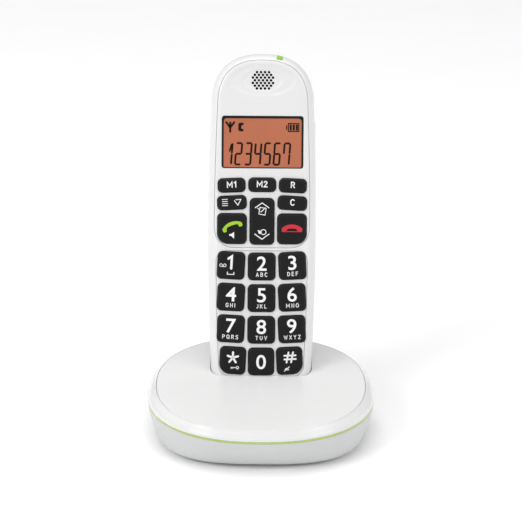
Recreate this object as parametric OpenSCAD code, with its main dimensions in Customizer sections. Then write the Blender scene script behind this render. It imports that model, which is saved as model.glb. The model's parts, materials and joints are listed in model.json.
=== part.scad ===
// Cordless phone with charging base.
// A big-button handset stands in the pocket of an oval base and leans back.
// +Z is up, the keys face -Y, and the base stands on the plane z = 0.
// Handset pieces are modelled upright in the handset's own frame, with the
// face at -Y and the bottom end at z = 0, and docked() puts them in the base.

/* [Handset] */
// Length of the handset
handset_l = 160; // [150:1:170]
// Greatest width of the handset
handset_w = 50; // [48:0.5:52]
// Thickness of the handset
handset_t = 26; // [25:0.5:28]
// How far the docked handset leans back, in degrees
lean = 20; // [16:1:22]
// Thickness of the front wall behind the keys
face_wall = 2.2; // [2:0.1:2.6]
// Thickness of the two face panels that sit in the front cover
panel_t = 1.4; // [1.2:0.1:1.5]
// Free gap round each key and button
key_gap = 0.25; // [0.2:0.05:0.3]
// How far the keys stand out of the face
key_proud = 1.2; // [0.8:0.1:1.3]
// How far a key can be pressed
key_travel = 0.8; // [0.5:0.1:0.8]

/* [Keypad] */
// Width of a number key
key_w = 12.2; // [11.5:0.1:12.4]
// Height of a number key
key_h = 12.3; // [11.5:0.1:12.4]
// Distance between the number key rows
row_pitch = 14.6; // [14.3:0.1:14.8]
// Distance from the middle column of keys to the outer ones
column_pitch = 14.1; // [13.9:0.1:14.2]
// Turn of the outer keys, which gives the rows their curve, in degrees
key_tilt = 3; // [0:0.5:3]

/* [Base] */
// Width of the base
base_w = 103.6; // [101:0.1:106]
// Depth of the base
base_d = 100.8; // [98:0.2:104]
// Height of the lower casing's top edge, under the green band
band_z = 16; // [16:0.5:18]
// Height of the green band
band_h = 1.2; // [0.8:0.1:1.6]
// Rise of the top plate above the band, at the middle of the base
plate_rise = 5.4; // [5:0.1:6]
// Slope of the top plate towards the front, in degrees
plate_slope = 2.7; // [2:0.1:3.2]
// Wall thickness of the base covers
base_wall = 1.8; // [1.6:0.1:2]
// Free gap round the docked handset in its pocket
pocket_gap = 0.5; // [0.4:0.1:0.8]

/* [Details] */
// Diameter of the earpiece holes
ear_hole_d = 1.1; // [0.8:0.05:1.15]
// Diameter of a battery cell
cell_d = 10.4; // [10.2:0.1:10.5]
// Length of a battery cell
cell_l = 44.4; // [43.5:0.1:44.5]
// Distance of the base's middle in front of the origin
stand_y = 14.3; // [11:0.1:17]

/* [Hidden] */

shell_white = "#f4f4f2";
casing_grey = "#e2e2e0";
key_black = "#232323";
band_green = "#b6d276";
light_green = "#97c821";
steel = "#b9bcc0";
gold = "#d8b65a";
board_green = "#2f6b45";

thin = 0.02;        // thickness of the slices that a hull joins
far = 200;          // longer than anything that it cuts
fit_gap = 0.15;     // gap between two pieces that are assembled face to face
run_gap = 0.05;     // radial gap of a pin that turns or slides in its bore

// Handset levels, measured from the parting plane at y = 0
face_y = -handset_t / 2;
back_y = handset_t / 2;
panel_back_y = face_y + panel_t;
front_wall_y = face_y + face_wall;
key_back_y = front_wall_y + 0.9;
mat_y = key_back_y + key_travel + 0.2;
mat_t = 0.7;
board_y = mat_y + mat_t + 0.1;
board_t = 1.2;
cover_wall = 2;

// Where the docked handset's bottom end sits
pocket_depth = 11.2;
dock_front_y = 6;
dock_y = dock_front_y + handset_t / 2 * cos(lean) - pocket_depth * sin(lean);
dock_z = band_z + band_h + plate_rise + dock_front_y * tan(plate_slope)
    - pocket_depth * cos(lean) - handset_t / 2 * sin(lean);

// Keypad and face places, as heights above the handset's bottom end
row_top_z = handset_l - 97.9;
talk_z = handset_l - 80.5;
nav_z = handset_l - 77.1;
menu_z = handset_l - 68.6;
memory_z = handset_l - 60.3;
display_z = handset_l - 40.7;
ear_z = handset_l - 12.3;
panel_split_z = handset_l - 89.2;
keypad_bottom_z = 11.4;
row_curve = 0.45;
panel_break = 1.6;
last_row_shift = 1;
memory_curve = 0.3;
memory_tilt = 0.8 * key_tilt;
menu_shift = 0.2;
talk_shift = 0.3;
display_w = 37.4;
display_h = 23.9;
display_ledge = 1.6;
lcd_less = 2.2;
talk_w = 13.1;
talk_h = 13.7;
menu_w = 13.1;
small_key_w = 12.3;
small_key_h = 6.15;
nav_w = 10.9;
nav_h = 21;
key_r = 2;
big_key_r = 4.8;
nav_pin_y = front_wall_y + 0.85;
nav_pin_r = 0.75;
nav_lug_w = 1.2;
key_lip = 0.55;
key_lip_gap = 0.15;
crown_h = 0.4;
crown_inset = 0.45;
key_shoulder_y = face_y - key_proud + crown_h;

// Volume rocker in the right side of the rear cover
volume_z = handset_l - 40;
volume_l = 19.4;
volume_w = 4.5;
volume_y = 3.3;
volume_pin_x = handset_w / 2 - 2.4;
volume_pin_r = 0.8;

// Battery bay and its door, in the rear cover
cell_gap = 0.4;
bay_floor_y = 0.5;
cell_y = bay_floor_y + cell_d / 2 + 0.1;
cell_x = (cell_d + cell_gap) / 2;
bay_w = 2 * cell_d + cell_gap + 0.8;
bay_z = 31.5;
contact_t = 1.2;
bay_l = cell_l + 2 * contact_t + 0.6;
door_t = 1.6;
door_w = 32;
door_axis_r = 1.5;
door_axis_y = back_y - door_axis_r - 0.15;
door_axis_z = 27.5;
door_top_z = 88;
door_pin_r = 0.8;
door_pin_l = 1.6;
door_gap = 0.25;
grip_pitch = 2;
grip_l = 14;
grip_w = 0.8;

// Charging contacts, along the handset's length
contact_x = 8;
contact_y = -5;
plate_recess = 0.35;
plate_r = 2.6;
pin_r = 1.2;
barrel_r = 2;
barrel_top_z = -0.9;
barrel_l = 4.6;
pin_l = 4;

// Indicator light in the top edge, turned to follow the edge
light_x = 7.9;
light_turn = 10;
light_w = 2.4;
light_l = 7;
light_h = 3.4;

// Speakers and screws of the handset
ear_r = 8.5;
mic_hole_r = 0.6;
slot_pitch = 2.2;
slot_w = 1;
slot_l = 12;
ringer_r = 9;
ringer_z = 108;
screw_x = 14.5;
screw_z = handset_l - 20;
handset_screw_r = 1.1;
boss_r = 2.6;
screw_head_y = 8;
screw_head_r = 2.2;
screw_well_r = 2.5;
screw_bite = 6.5;
screw_tube_r = 3.6;

// Levels and places of the base
foot_h = 1;
casing_z = foot_h;
casing_floor_t = 1.8;
cover_z = band_z + band_h;
plate_mid_z = cover_z + plate_rise;
seam_inset = 3.8;
ledge_w = 2;
oval_n = 2.25;
bottom_n = 2.9;
foot_x = 25;
foot_y = 31;
foot_r = 4.5;
foot_sink = 0.8;
base_screw_x = 37;
base_screw_front_y = -20;
base_screw_rear_y = 7;
base_screw_r = 1.1;
boss_top_z = 9;
base_board_z = 7.3;
socket_x = 32.6;
socket_w = 11.6;
socket_h = 10.6;
socket_z = 3.4;
socket_l = 12;
socket_mouth_y = 31.5;
bay_wall = 1.2;
tub_wall = 1.4;
page_w = 10;
page_h = 4.2;
page_z = 11;
page_y = base_d / 2 - 1.1;

// ---------------------------------------------------------------- shapes

// Point of a superellipse: n = 2 is an ellipse and a larger n is squarer
function oval_point(a, b, n, t) = [
    a * sign(cos(t)) * pow(abs(cos(t)), 2 / n),
    b * sign(sin(t)) * pow(abs(sin(t)), 2 / n)
];

// Closed superellipse outline
function oval(a, b, n, steps = 56) = [
    for (i = [0 : steps - 1]) oval_point(a, b, n, 360 * i / steps)
];

// Outline of the base, pulled in by a given amount
module base_outline(inset = 0, n = oval_n) {
    polygon(oval(base_w / 2 - inset, base_d / 2 - inset, n));
}

// Quarter round of a rectangle's corner
function corner(cx, cy, r, start, steps = 5) = [
    for (k = [0 : steps]) [
        cx + r * cos(start + 90 * k / steps),
        cy + r * sin(start + 90 * k / steps)
    ]
];

// Rectangle with its own radius at the lower left and the lower right
function round_rect(w, h, r, r_left, r_right) = concat(
    corner(w / 2 - r, h / 2 - r, r, 0),
    corner(r - w / 2, h / 2 - r, r, 90),
    corner(r_left - w / 2, r_left - h / 2, r_left, 180),
    corner(w / 2 - r_right, r_right - h / 2, r_right, 270)
);

// Half width of the handset at a height: a slight barrel shape
function half_width(z) = handset_w / 2 - pow((z - handset_l / 2) / 50, 2);

top_cap = 24;
bottom_cap = 12;
cap_n = 2.4;

// Right half of the handset's outline, from the bottom to the top
right_side = concat(
    [for (t = [80 : -16 : 0]) [
        half_width(bottom_cap) * pow(cos(t), 2 / cap_n),
        bottom_cap - bottom_cap * pow(sin(t), 2 / cap_n)
    ]],
    [for (i = [1 : 6]) let (z = bottom_cap + (handset_l - top_cap - bottom_cap) * i / 7)
        [half_width(z), z]],
    [for (t = [0 : 10 : 80]) [
        half_width(handset_l - top_cap) * pow(cos(t), 2 / cap_n),
        handset_l - top_cap + top_cap * pow(sin(t), 2 / cap_n)
    ]]
);

// Outline of the handset seen from the front
module handset_outline() {
    last = len(right_side) - 1;
    polygon(concat(
        [[0, 0]],
        right_side,
        [[0, handset_l]],
        [for (i = [last : -1 : 0]) [-right_side[i].x, right_side[i].y]]
    ));
}

// How far the outline is pulled in at each level, from the face to the parting
// plane and from the parting plane to the back
FRONT_LEVELS = [
    [face_y, 4.4], [face_y + 0.4, 3.1], [face_y + 1.5, 1.7], [face_y + 3.6, 0.6],
    [face_y + 7, 0], [-thin, 0]
];
BACK_LEVELS = [
    [thin, 0], [back_y - 10, 0], [back_y - 6.5, 0.5], [back_y - 3.5, 1.7],
    [back_y - 1.4, 3.6], [back_y - 0.4, 5.4], [back_y, 7.4]
];

// Solid of a drawing that stands in the XZ plane, from y0 back to y1
module upright(y0, y1) {
    translate([0, y1, 0])
        rotate([90, 0, 0])
            linear_extrude(y1 - y0)
                children();
}

// Solid outer form of the handset through the given levels, grown all round
module handset_form(grow = 0, levels = concat(FRONT_LEVELS, BACK_LEVELS)) {
    hull()
        for (level = levels)
            let (
                outside = abs(level[0]) > thin ? sign(level[0]) * grow : 0,
                y = level[0] + outside - (level[0] > 0 ? thin : 0)
            )
                upright(y, y + thin)
                    offset(delta = grow - level[1])
                        handset_outline();
}

// Hollow inside the handset between two depths
module handset_cavity(y0, y1, wall = 3.4) {
    upright(y0, y1)
        offset(delta = -wall)
            handset_outline();
}

// Puts a handset piece in its place in the base
module docked() {
    translate([0, dock_y - stand_y, dock_z])
        rotate([-lean, 0, 0])
            children();
}

// Puts a base piece in its place
module standing() {
    translate([0, -stand_y, 0])
        children();
}

// Outline of both face panels together
module panel_outline(gap = 0) {
    offset(delta = gap - 3.1)
        handset_outline();
}

// Outline of the upper face panel, which ends in a wide round chin
module upper_panel_outline(gap = 0) {
    chin_r = 9;
    offset(r = chin_r, $fn = 40)
        offset(delta = -chin_r)
            intersection() {
                panel_outline(gap);
                translate([-handset_w, panel_split_z - gap])
                    square([2 * handset_w, handset_l]);
            }
}

// Outline of the keypad's face panel
module keypad_panel_outline(gap = 0) {
    edge_r = 5;
    offset(r = edge_r, $fn = 32)
        offset(delta = -edge_r)
            intersection() {
                offset(delta = gap - 3.9)
                    handset_outline();
                translate([-handset_w, keypad_bottom_z - gap])
                    square([2 * handset_w, panel_split_z - keypad_bottom_z - panel_break + 2 * gap]);
            }
}

// ------------------------------------------------------------------- keys

// Outline of a key at its place on the face
module key_outline(x, z, w, h, turn, r_left, r_right, grow = 0) {
    translate([x, z])
        rotate(turn)
            polygon(round_rect(w + 2 * grow, h + 2 * grow, key_r + grow,
                r_left + grow, r_right + grow));
}

// Key with a raised crown on top and a lip that holds it behind the face wall
module key_cap(x, z, w, h, turn = 0, r_left = key_r, r_right = key_r) {
    color(key_black) docked() {
        upright(key_shoulder_y, key_back_y)
            key_outline(x, z, w, h, turn, r_left, r_right);
        upright(face_y - key_proud, key_shoulder_y)
            key_outline(x, z, w, h, turn, r_left, r_right, -crown_inset);
        translate([x, 0, z])
            rotate([0, -turn, 0])
                translate([-w / 4, front_wall_y + key_lip_gap, -h / 2 - key_lip])
                    cube([w / 2, key_back_y - front_wall_y - key_lip_gap, h + 2 * key_lip]);
    }
}

// Place and size of a number key, by column (-1, 0, 1) and row (0 at the top)
function number_key_x(col, row) = col * (row == 3 ? column_pitch - last_row_shift : column_pitch);
function number_key_z(col, row) = row_top_z - row_pitch * row + row_curve * abs(col);
function number_key_w(col, row) = row == 3 ? key_w - 0.6 : key_w;
function number_key_r(col, row, side) = row == 3 && col == side ? big_key_r : key_r;

module number_key(col, row) {
    key_cap(number_key_x(col, row), number_key_z(col, row), number_key_w(col, row),
        key_h, key_tilt * col, number_key_r(col, row, -1), number_key_r(col, row, 1));
}

module memory_key(col) {
    key_cap(col * column_pitch, memory_z - memory_curve * abs(col), small_key_w, small_key_h,
        -memory_tilt * col);
}

module menu_key(side) {
    key_cap(side * (column_pitch - menu_shift), menu_z, menu_w, small_key_h, -key_tilt * side);
}

module call_key(side) {
    key_cap(side * (column_pitch - talk_shift), talk_z, talk_w, talk_h, 0,
        side < 0 ? big_key_r : key_r, side > 0 ? big_key_r : key_r);
}

// Openings in the face for every key
module key_openings() {
    for (col = [-1 : 1], row = [0 : 3])
        key_outline(number_key_x(col, row), number_key_z(col, row),
            number_key_w(col, row), key_h, key_tilt * col,
            number_key_r(col, row, -1), number_key_r(col, row, 1), key_gap);
    for (col = [-1 : 1])
        key_outline(col * column_pitch, memory_z - memory_curve * abs(col), small_key_w,
            small_key_h, -memory_tilt * col, key_r, key_r, key_gap);
    for (side = [-1, 1]) {
        key_outline(side * (column_pitch - menu_shift), menu_z, menu_w, small_key_h,
            -key_tilt * side, key_r, key_r, key_gap);
        key_outline(side * (column_pitch - talk_shift), talk_z, talk_w, talk_h, 0,
            side < 0 ? big_key_r : key_r, side > 0 ? big_key_r : key_r, key_gap);
    }
    key_outline(0, nav_z, nav_w, nav_h, 0, key_r, key_r, key_gap);
}

module key_m1() memory_key(-1);
module key_m2() memory_key(0);
module key_r() memory_key(1);
module key_menu() menu_key(-1);
module key_c() menu_key(1);
module key_talk() call_key(-1);
module key_end() call_key(1);
module key_1() number_key(-1, 0);
module key_2() number_key(0, 0);
module key_3() number_key(1, 0);
module key_4() number_key(-1, 1);
module key_5() number_key(0, 1);
module key_6() number_key(1, 1);
module key_7() number_key(-1, 2);
module key_8() number_key(0, 2);
module key_9() number_key(1, 2);
module key_star() number_key(-1, 3);
module key_0() number_key(0, 3);
module key_hash() number_key(1, 3);

// Two-way key that rocks on a cross pin between two lugs of the front cover
module nav_rocker() {
    pin_l = nav_w + 2 * (key_gap + nav_lug_w) - 0.3;
    color(key_black) docked() {
        upright(key_shoulder_y, key_back_y)
            key_outline(0, nav_z, nav_w, nav_h, 0, key_r, key_r);
        upright(face_y - key_proud, key_shoulder_y)
            key_outline(0, nav_z, nav_w, nav_h, 0, key_r, key_r, -crown_inset);
        translate([-pin_l / 2, nav_pin_y, nav_z])
            rotate([0, 90, 0])
                cylinder(h = pin_l, r = nav_pin_r, $fn = 32);
    }
}

// ------------------------------------------------------- handset, outside

// Grid of sound holes in front of the earpiece
module ear_holes() {
    counts = [4, 5, 6, 5, 6, 5, 4];
    pitch_x = 1.85;
    pitch_z = 1.24;
    for (row = [0 : len(counts) - 1], i = [0 : counts[row] - 1])
        translate([(i - (counts[row] - 1) / 2) * pitch_x, front_wall_y + 1,
            ear_z + (3 - row) * pitch_z])
            rotate([90, 0, 0])
                cylinder(h = face_wall + 2, d = ear_hole_d, $fn = 16);
}

// Slot for the indicator light in the top edge
module indicator_slot(gap = 0) {
    translate([light_x, face_y + 3, handset_l - 1.1])
        rotate([0, light_turn, 0])
            cube([light_w + 2 * gap, light_l + 2 * gap, light_h + 2 * gap], center = true);
}

module handset_front_cover() {
    color(shell_white) docked() {
        difference() {
            handset_form(levels = FRONT_LEVELS);
            handset_cavity(front_wall_y, 1);
            upright(face_y - 1, panel_back_y) {
                upper_panel_outline(fit_gap);
                keypad_panel_outline(fit_gap);
            }
            upright(face_y - 1, front_wall_y + 1) {
                key_openings();
                translate([0, display_z])
                    polygon(round_rect(display_w - display_ledge, display_h - display_ledge, 1, 1, 1));
            }
            ear_holes();
            indicator_slot(fit_gap);
            for (side = [-1, 1])
                translate([side * contact_x, contact_y, -1])
                    cylinder(h = 6, r = plate_r + fit_gap, $fn = 32);
            translate([0, contact_y, -1])
                cylinder(h = 6, r = mic_hole_r, $fn = 16);
        }
        for (side = [-1, 1]) {
            difference() {
                translate([side * screw_x, 0, screw_z])
                    rotate([90, 0, 0])
                        cylinder(h = -front_wall_y + 0.4, r = boss_r, $fn = 32);
                translate([side * screw_x, 1, screw_z])
                    rotate([90, 0, 0])
                        cylinder(h = 8.5, r = handset_screw_r + run_gap, $fn = 32);
            }
            nav_lug(side);
        }
    }
}

// Lug on the inside of the front cover that carries one end of the nav pin
module nav_lug(side) {
    inner_x = nav_w / 2 + key_gap + 0.05;
    difference() {
        translate([side * (inner_x + nav_lug_w / 2), front_wall_y + 0.65, nav_z])
            cube([nav_lug_w, 2.3, 3.4], center = true);
        translate([side * inner_x - nav_lug_w * 1.5, nav_pin_y, nav_z])
            rotate([0, 90, 0])
                cylinder(h = 3 * nav_lug_w, r = nav_pin_r + run_gap, $fn = 32);
    }
}

module upper_face_panel() {
    color(shell_white) docked()
        difference() {
            intersection() {
                handset_form(levels = FRONT_LEVELS);
                upright(face_y - 1, panel_back_y - 0.02)
                    upper_panel_outline();
            }
            upright(face_y - 1, front_wall_y) {
                key_openings();
                translate([0, display_z])
                    polygon(round_rect(display_w + 2 * fit_gap, display_h + 2 * fit_gap,
                        1.2, 1.2, 1.2));
            }
            ear_holes();
            indicator_slot(fit_gap);
        }
}

module keypad_face_panel() {
    color(shell_white) docked()
        difference() {
            intersection() {
                handset_form(levels = FRONT_LEVELS);
                upright(face_y - 1, panel_back_y - 0.02)
                    keypad_panel_outline();
            }
            upright(face_y - 1, front_wall_y)
                key_openings();
        }
}

module handset_rear_cover() {
    color(shell_white) docked() {
        difference() {
            handset_form(levels = BACK_LEVELS);
            difference() {
                handset_cavity(-1, back_y - cover_wall);
                bay_block();
                for (side = [-1, 1])
                    translate([side * screw_x, -1, screw_z])
                        rotate([-90, 0, 0])
                            cylinder(h = handset_t, r = screw_tube_r, $fn = 32);
            }
            battery_bay();
            door_recess();
            volume_slot();
            for (side = [-1, 1])
                translate([side * screw_x, 0, screw_z])
                    rotate([-90, 0, 0]) {
                        translate([0, 0, -1])
                            cylinder(h = handset_t, r = handset_screw_r + 0.3, $fn = 32);
                        translate([0, 0, screw_head_y])
                            cylinder(h = handset_t, r = screw_well_r, $fn = 32);
                    }
            for (i = [-3 : 3])
                translate([i * slot_pitch, back_y - 3, ringer_z])
                    cube([slot_w, 8, slot_l - 0.4 * i * i], center = true);
        }
    }
}

// Walls of the battery bay inside the rear cover
module bay_block() {
    translate([-bay_w / 2 - 1.2, -1, bay_z - 1.5])
        cube([bay_w + 2.4, handset_t, bay_l + 3]);
    translate([-door_w / 2 - 2.6, back_y - 4.2, door_axis_z - 3])
        cube([door_w + 5.2, 4.2, door_top_z - door_axis_z + 5]);
}

// Hollow that holds the two cells
module battery_bay() {
    translate([-bay_w / 2, bay_floor_y, bay_z])
        cube([bay_w, handset_t, bay_l]);
}

// Space that the battery door and its hinge pins need
module door_recess() {
    translate([-door_w / 2 - door_gap, back_y - door_t - fit_gap, door_axis_z])
        cube([door_w + 2 * door_gap, handset_t, door_top_z - door_axis_z + door_gap]);
    translate([0, door_axis_y, door_axis_z])
        rotate([0, 90, 0]) {
            cylinder(h = door_w + 2 * door_gap, r = door_axis_r + 0.3, center = true, $fn = 48);
            cylinder(h = door_w + 2 * door_pin_l + 0.4, r = door_pin_r + run_gap,
                center = true, $fn = 32);
        }
    translate([-door_w / 2 - door_gap, door_axis_y, door_axis_z - door_axis_r - 0.3])
        cube([door_w + 2 * door_gap, handset_t, door_axis_r + 1]);
}

// Door over the cells: it swings on two short pins at its lower edge
module battery_door() {
    color(shell_white) docked() {
        difference() {
            union() {
                translate([-door_w / 2, back_y - door_t, door_axis_z])
                    cube([door_w, door_t - 0.05, door_top_z - door_axis_z]);
                translate([0, door_axis_y, door_axis_z])
                    rotate([0, 90, 0])
                        cylinder(h = door_w, r = door_axis_r, center = true, $fn = 48);
            }
            for (i = [0 : 3])
                translate([0, back_y, door_top_z - 6 - grip_pitch * i])
                    cube([grip_l, grip_w, grip_w], center = true);
        }
        translate([0, door_axis_y, door_axis_z])
            rotate([0, 90, 0])
                cylinder(h = door_w + 2 * door_pin_l, r = door_pin_r, center = true, $fn = 32);
    }
}

// Slot and pin seats of the volume rocker
module volume_slot() {
    translate([volume_pin_x + 1, volume_y, volume_z])
        cube([12, volume_w + 2 * key_gap, volume_l + 2 * key_gap], center = true);
    translate([volume_pin_x, volume_y, volume_z])
        rotate([90, 0, 0])
            cylinder(h = volume_w + 2.4, r = volume_pin_r + run_gap, center = true, $fn = 32);
}

// Side key that rocks on a pin through its middle
module volume_rocker() {
    outer_x = half_width(volume_z) + 0.5;
    inner_x = volume_pin_x - 0.9;
    color(casing_grey) docked() {
        intersection() {
            translate([inner_x, volume_y - volume_w / 2, volume_z - volume_l / 2])
                cube([outer_x - inner_x, volume_w, volume_l]);
            translate([outer_x - 110, volume_y, volume_z])
                rotate([90, 0, 0])
                    cylinder(h = far, r = 110, center = true, $fn = 360);
        }
        translate([volume_pin_x, volume_y, volume_z])
            rotate([90, 0, 0])
                cylinder(h = volume_w + 1.8, r = volume_pin_r, center = true, $fn = 32);
    }
}

module display_lens() {
    color("#1d1a18") docked()
        upright(face_y + 0.1, panel_back_y - 0.02)
            translate([0, display_z])
                polygon(round_rect(display_w, display_h, 1, 1, 1));
}

module indicator_light() {
    color(light_green) docked()
        intersection() {
            handset_form(-0.05, FRONT_LEVELS);
            indicator_slot();
        }
}

// -------------------------------------------------------- handset, inside

module lcd_module() {
    color("#c77a55") docked()
        upright(panel_back_y + 0.05, board_y - 0.1)
            translate([0, display_z])
                polygon(round_rect(display_w - lcd_less, display_h - lcd_less, 1, 1, 1));
}

module earpiece_speaker() {
    color(key_black) docked()
        translate([0, front_wall_y + 0.1, ear_z])
            rotate([-90, 0, 0]) {
                cylinder(h = 2.6, r = ear_r, $fn = 48);
                cylinder(h = 4.4, r = ear_r - 2.5, $fn = 48);
            }
}

module ringer_speaker() {
    color(key_black) docked()
        translate([0, back_y - cover_wall - 0.1, ringer_z])
            rotate([90, 0, 0]) {
                cylinder(h = 2.8, r = ringer_r, $fn = 48);
                cylinder(h = 5, r = ringer_r - 3, $fn = 48);
            }
}

module microphone() {
    color(steel) docked()
        translate([0, contact_y, 3.6])
            cylinder(h = 2.2, r = 2, $fn = 32);
}

// Main board with its radio shield and crystal can
module main_pcb() {
    board_w = 38;
    board_z0 = 14;
    board_z1 = handset_l - 25;
    color(board_green) docked() {
        translate([-board_w / 2, board_y, board_z0])
            cube([board_w, board_t, board_z1 - board_z0]);
        translate([-11, board_y + board_t, 92])
            cube([22, 3, 30]);
        translate([-15, board_y + board_t, 20])
            cube([9, 1.8, 9]);
        translate([4, board_y + board_t, 20])
            cube([11, 2.4, 5]);
    }
}

module keypad_mat() {
    mat_w = 38;
    mat_z0 = 11;
    mat_z1 = memory_z + 4.6;
    color("#d9d9d4") docked()
        translate([-mat_w / 2, mat_y, mat_z0])
            cube([mat_w, mat_t, mat_z1 - mat_z0]);
}

module batteries() {
    color("#3f8f4e") docked()
        for (side = [-1, 1])
            translate([side * cell_x, cell_y, bay_z + contact_t + 1]) {
                cylinder(h = cell_l - 1, d = cell_d, $fn = 48);
                translate([0, 0, side < 0 ? cell_l - 1 : -0.8])
                    cylinder(h = 0.8, d = 3.8, $fn = 32);
            }
}

// Bent plates that touch the cells' ends
module battery_contacts() {
    color(steel) docked() {
        for (side = [-1, 1])
            translate([side * cell_x - 3.5, cell_y - 3.5, bay_z + bay_l - 0.6])
                cube([7, 7, 0.4]);
        translate([-cell_x - 3.5, cell_y - 3.5, bay_z + 0.1])
            cube([2 * cell_x + 7, 7, 0.4]);
    }
}

// Charging plates in the handset's bottom end
module charge_plates() {
    color(gold) docked()
        for (side = [-1, 1])
            translate([side * contact_x, contact_y, plate_recess])
                cylinder(h = 3.4, r = plate_r, $fn = 32);
}

module handset_screws() {
    color(steel) docked()
        for (side = [-1, 1])
            translate([side * screw_x, 0, screw_z])
                rotate([-90, 0, 0]) {
                    translate([0, 0, screw_head_y])
                        cylinder(h = 1.6, r = screw_head_r, $fn = 32);
                    translate([0, 0, -screw_bite])
                        cylinder(h = screw_bite + screw_head_y, r = handset_screw_r, $fn = 32);
                }
}

// ---------------------------------------------------------- base, outside

// Outer form of the lower casing: it narrows towards the table
module casing_form() {
    levels = [[0, 7.6, bottom_n], [0.6, 6, bottom_n], [2.2, 4.2, 2.75],
        [5.5, 2.5, 2.5], [10, 0.9, 2.32], [band_z - casing_z, 0, oval_n]];
    depth_less = 3.5;
    hull()
        for (level = levels)
            let (down = 1 - level[0] / (band_z - casing_z))
                translate([0, 0, casing_z + level[0] - (level[0] > 0 ? thin : 0)])
                    linear_extrude(thin)
                        polygon(oval(base_w / 2 - level[1],
                            base_d / 2 - level[1] - depth_less * pow(down, 2), level[2]));
}

// Places of the screws that hold the base together
BASE_SCREWS = [for (side = [-1, 1], y = [base_screw_front_y, base_screw_rear_y])
    [side * base_screw_x, y, 0]];

module at_base_screws() {
    for (place = BASE_SCREWS)
        translate(place)
            children();
}

// Recess behind each socket, open to the rear
module socket_bay(side) {
    translate([side * socket_x - socket_w / 2 - fit_gap,
        socket_mouth_y - socket_l - fit_gap, socket_z - fit_gap])
        cube([socket_w + 2 * fit_gap, base_d, socket_h + 2 * fit_gap]);
}

// Walls round a socket's recess
module socket_bay_block(side) {
    translate([side * socket_x - socket_w / 2 - bay_wall, socket_mouth_y - 1.4, casing_z])
        cube([socket_w + 2 * bay_wall, base_d / 2, band_z - casing_z]);
}

module base_lower_casing() {
    floor_z = casing_z + casing_floor_t;
    color(casing_grey) standing()
        difference() {
            casing_form();
            difference() {
                union() {
                    translate([0, 0, floor_z])
                        linear_extrude(band_z)
                            polygon(oval(base_w / 2 - 8.4, base_d / 2 - 11, bottom_n));
                    translate([0, 0, floor_z + 4.4])
                        linear_extrude(band_z)
                            polygon(oval(base_w / 2 - 4.4, base_d / 2 - 5.2, 2.4));
                }
                for (side = [-1, 1])
                    socket_bay_block(side);
                at_base_screws()
                    cylinder(h = boss_top_z, r = 3.4, $fn = 32);
            }
            for (side = [-1, 1])
                socket_bay(side);
            at_base_screws() {
                cylinder(h = 4, r = 2.9, $fn = 32);
                cylinder(h = far / 4, r = base_screw_r + 0.4, $fn = 32);
            }
            for (x = [-foot_x, foot_x], y = [-foot_y, foot_y])
                translate([x, y, 0])
                    cylinder(h = casing_z + foot_sink, r = foot_r + 0.1, $fn = 48);
            translate([0, page_y, page_z])
                cube([page_w + 2 * key_gap, 20, page_h + 2 * key_gap], center = true);
        }
}

module base_green_band() {
    color(band_green) standing()
        translate([0, 0, band_z])
            linear_extrude(band_h)
                difference() {
                    base_outline(0.1);
                    base_outline(4);
                }
}

// Outer form of everything above the band: a sloping pebble top
module top_form() {
    rings = [[1.3, -plate_rise * 0.45], [2.6, -1.1], [seam_inset, 0], [9, 0.3],
        [17, 0.5], [27, 0.6]];
    hull() {
        translate([0, 0, cover_z])
            linear_extrude(thin)
                base_outline();
        translate([0, 0, cover_z + 1.2])
            linear_extrude(thin)
                base_outline(0.35);
        translate([0, 0, plate_mid_z])
            rotate([plate_slope, 0, 0])
                for (ring = rings)
                    translate([0, 0, ring[1] - thin])
                        linear_extrude(thin)
                            base_outline(ring[0]);
    }
}

// Everything above the underside of the top plate
module plate_slab(drop) {
    translate([0, 0, plate_mid_z - drop])
        rotate([plate_slope, 0, 0])
            translate([-far / 2, -far / 2, 0])
                cube([far, far, far / 4]);
}

module base_upper_cover() {
    color(shell_white) standing()
        difference() {
            top_form();
            intersection() {
                translate([0, 0, -1])
                    linear_extrude(far)
                        base_outline(seam_inset);
                plate_slab(base_wall + 0.05);
            }
            translate([0, 0, -1])
                linear_extrude(far)
                    base_outline(seam_inset + ledge_w);
            translate([0, stand_y, 0])
                docked()
                    handset_form(pocket_gap + tub_wall + fit_gap);
        }
}

// Pocket wall, before it is hollowed
module pocket_tub() {
    intersection() {
        translate([0, stand_y, 0])
            docked()
                handset_form(pocket_gap + tub_wall);
        translate([-far / 2, -far / 2, casing_z + casing_floor_t + 0.2])
            cube([far, far, plate_mid_z - casing_z - casing_floor_t + 0.4]);
    }
}

// Post under the top plate that a base screw bites into
module screw_post(top_z) {
    difference() {
        translate([0, 0, boss_top_z + 0.05])
            cylinder(h = top_z - boss_top_z, r = 3, $fn = 32);
        cylinder(h = band_z + 1, r = base_screw_r + run_gap, $fn = 32);
    }
}

module base_top_plate() {
    color(shell_white) standing() {
        difference() {
            union() {
                intersection() {
                    top_form();
                    translate([0, 0, -1])
                        linear_extrude(far)
                            base_outline(seam_inset + fit_gap);
                    plate_slab(base_wall);
                }
                pocket_tub();
            }
            translate([0, stand_y, 0])
                docked() {
                    handset_form(pocket_gap);
                    for (side = [-1, 1])
                        translate([side * contact_x, contact_y, -8])
                            cylinder(h = 9, r = barrel_r + 0.02, $fn = 32);
                }
        }
        for (place = BASE_SCREWS)
            translate(place)
                screw_post(plate_mid_z - base_wall + place.y * tan(plate_slope) + 0.5);
    }
}

// Key at the rear that pages the handset
module page_button() {
    color(casing_grey) standing() {
        translate([0, page_y - 2, page_z])
            cube([page_w, 5, page_h], center = true);
        translate([0, page_y - 5.2, page_z])
            cube([page_w + 2, 1.4, page_h], center = true);
    }
}

module rubber_feet() {
    color("#3a3a3a") standing()
        for (x = [-foot_x, foot_x], y = [-foot_y, foot_y])
            translate([x, y, 0])
                cylinder(h = casing_z + foot_sink, r = foot_r, $fn = 48);
}

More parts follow.
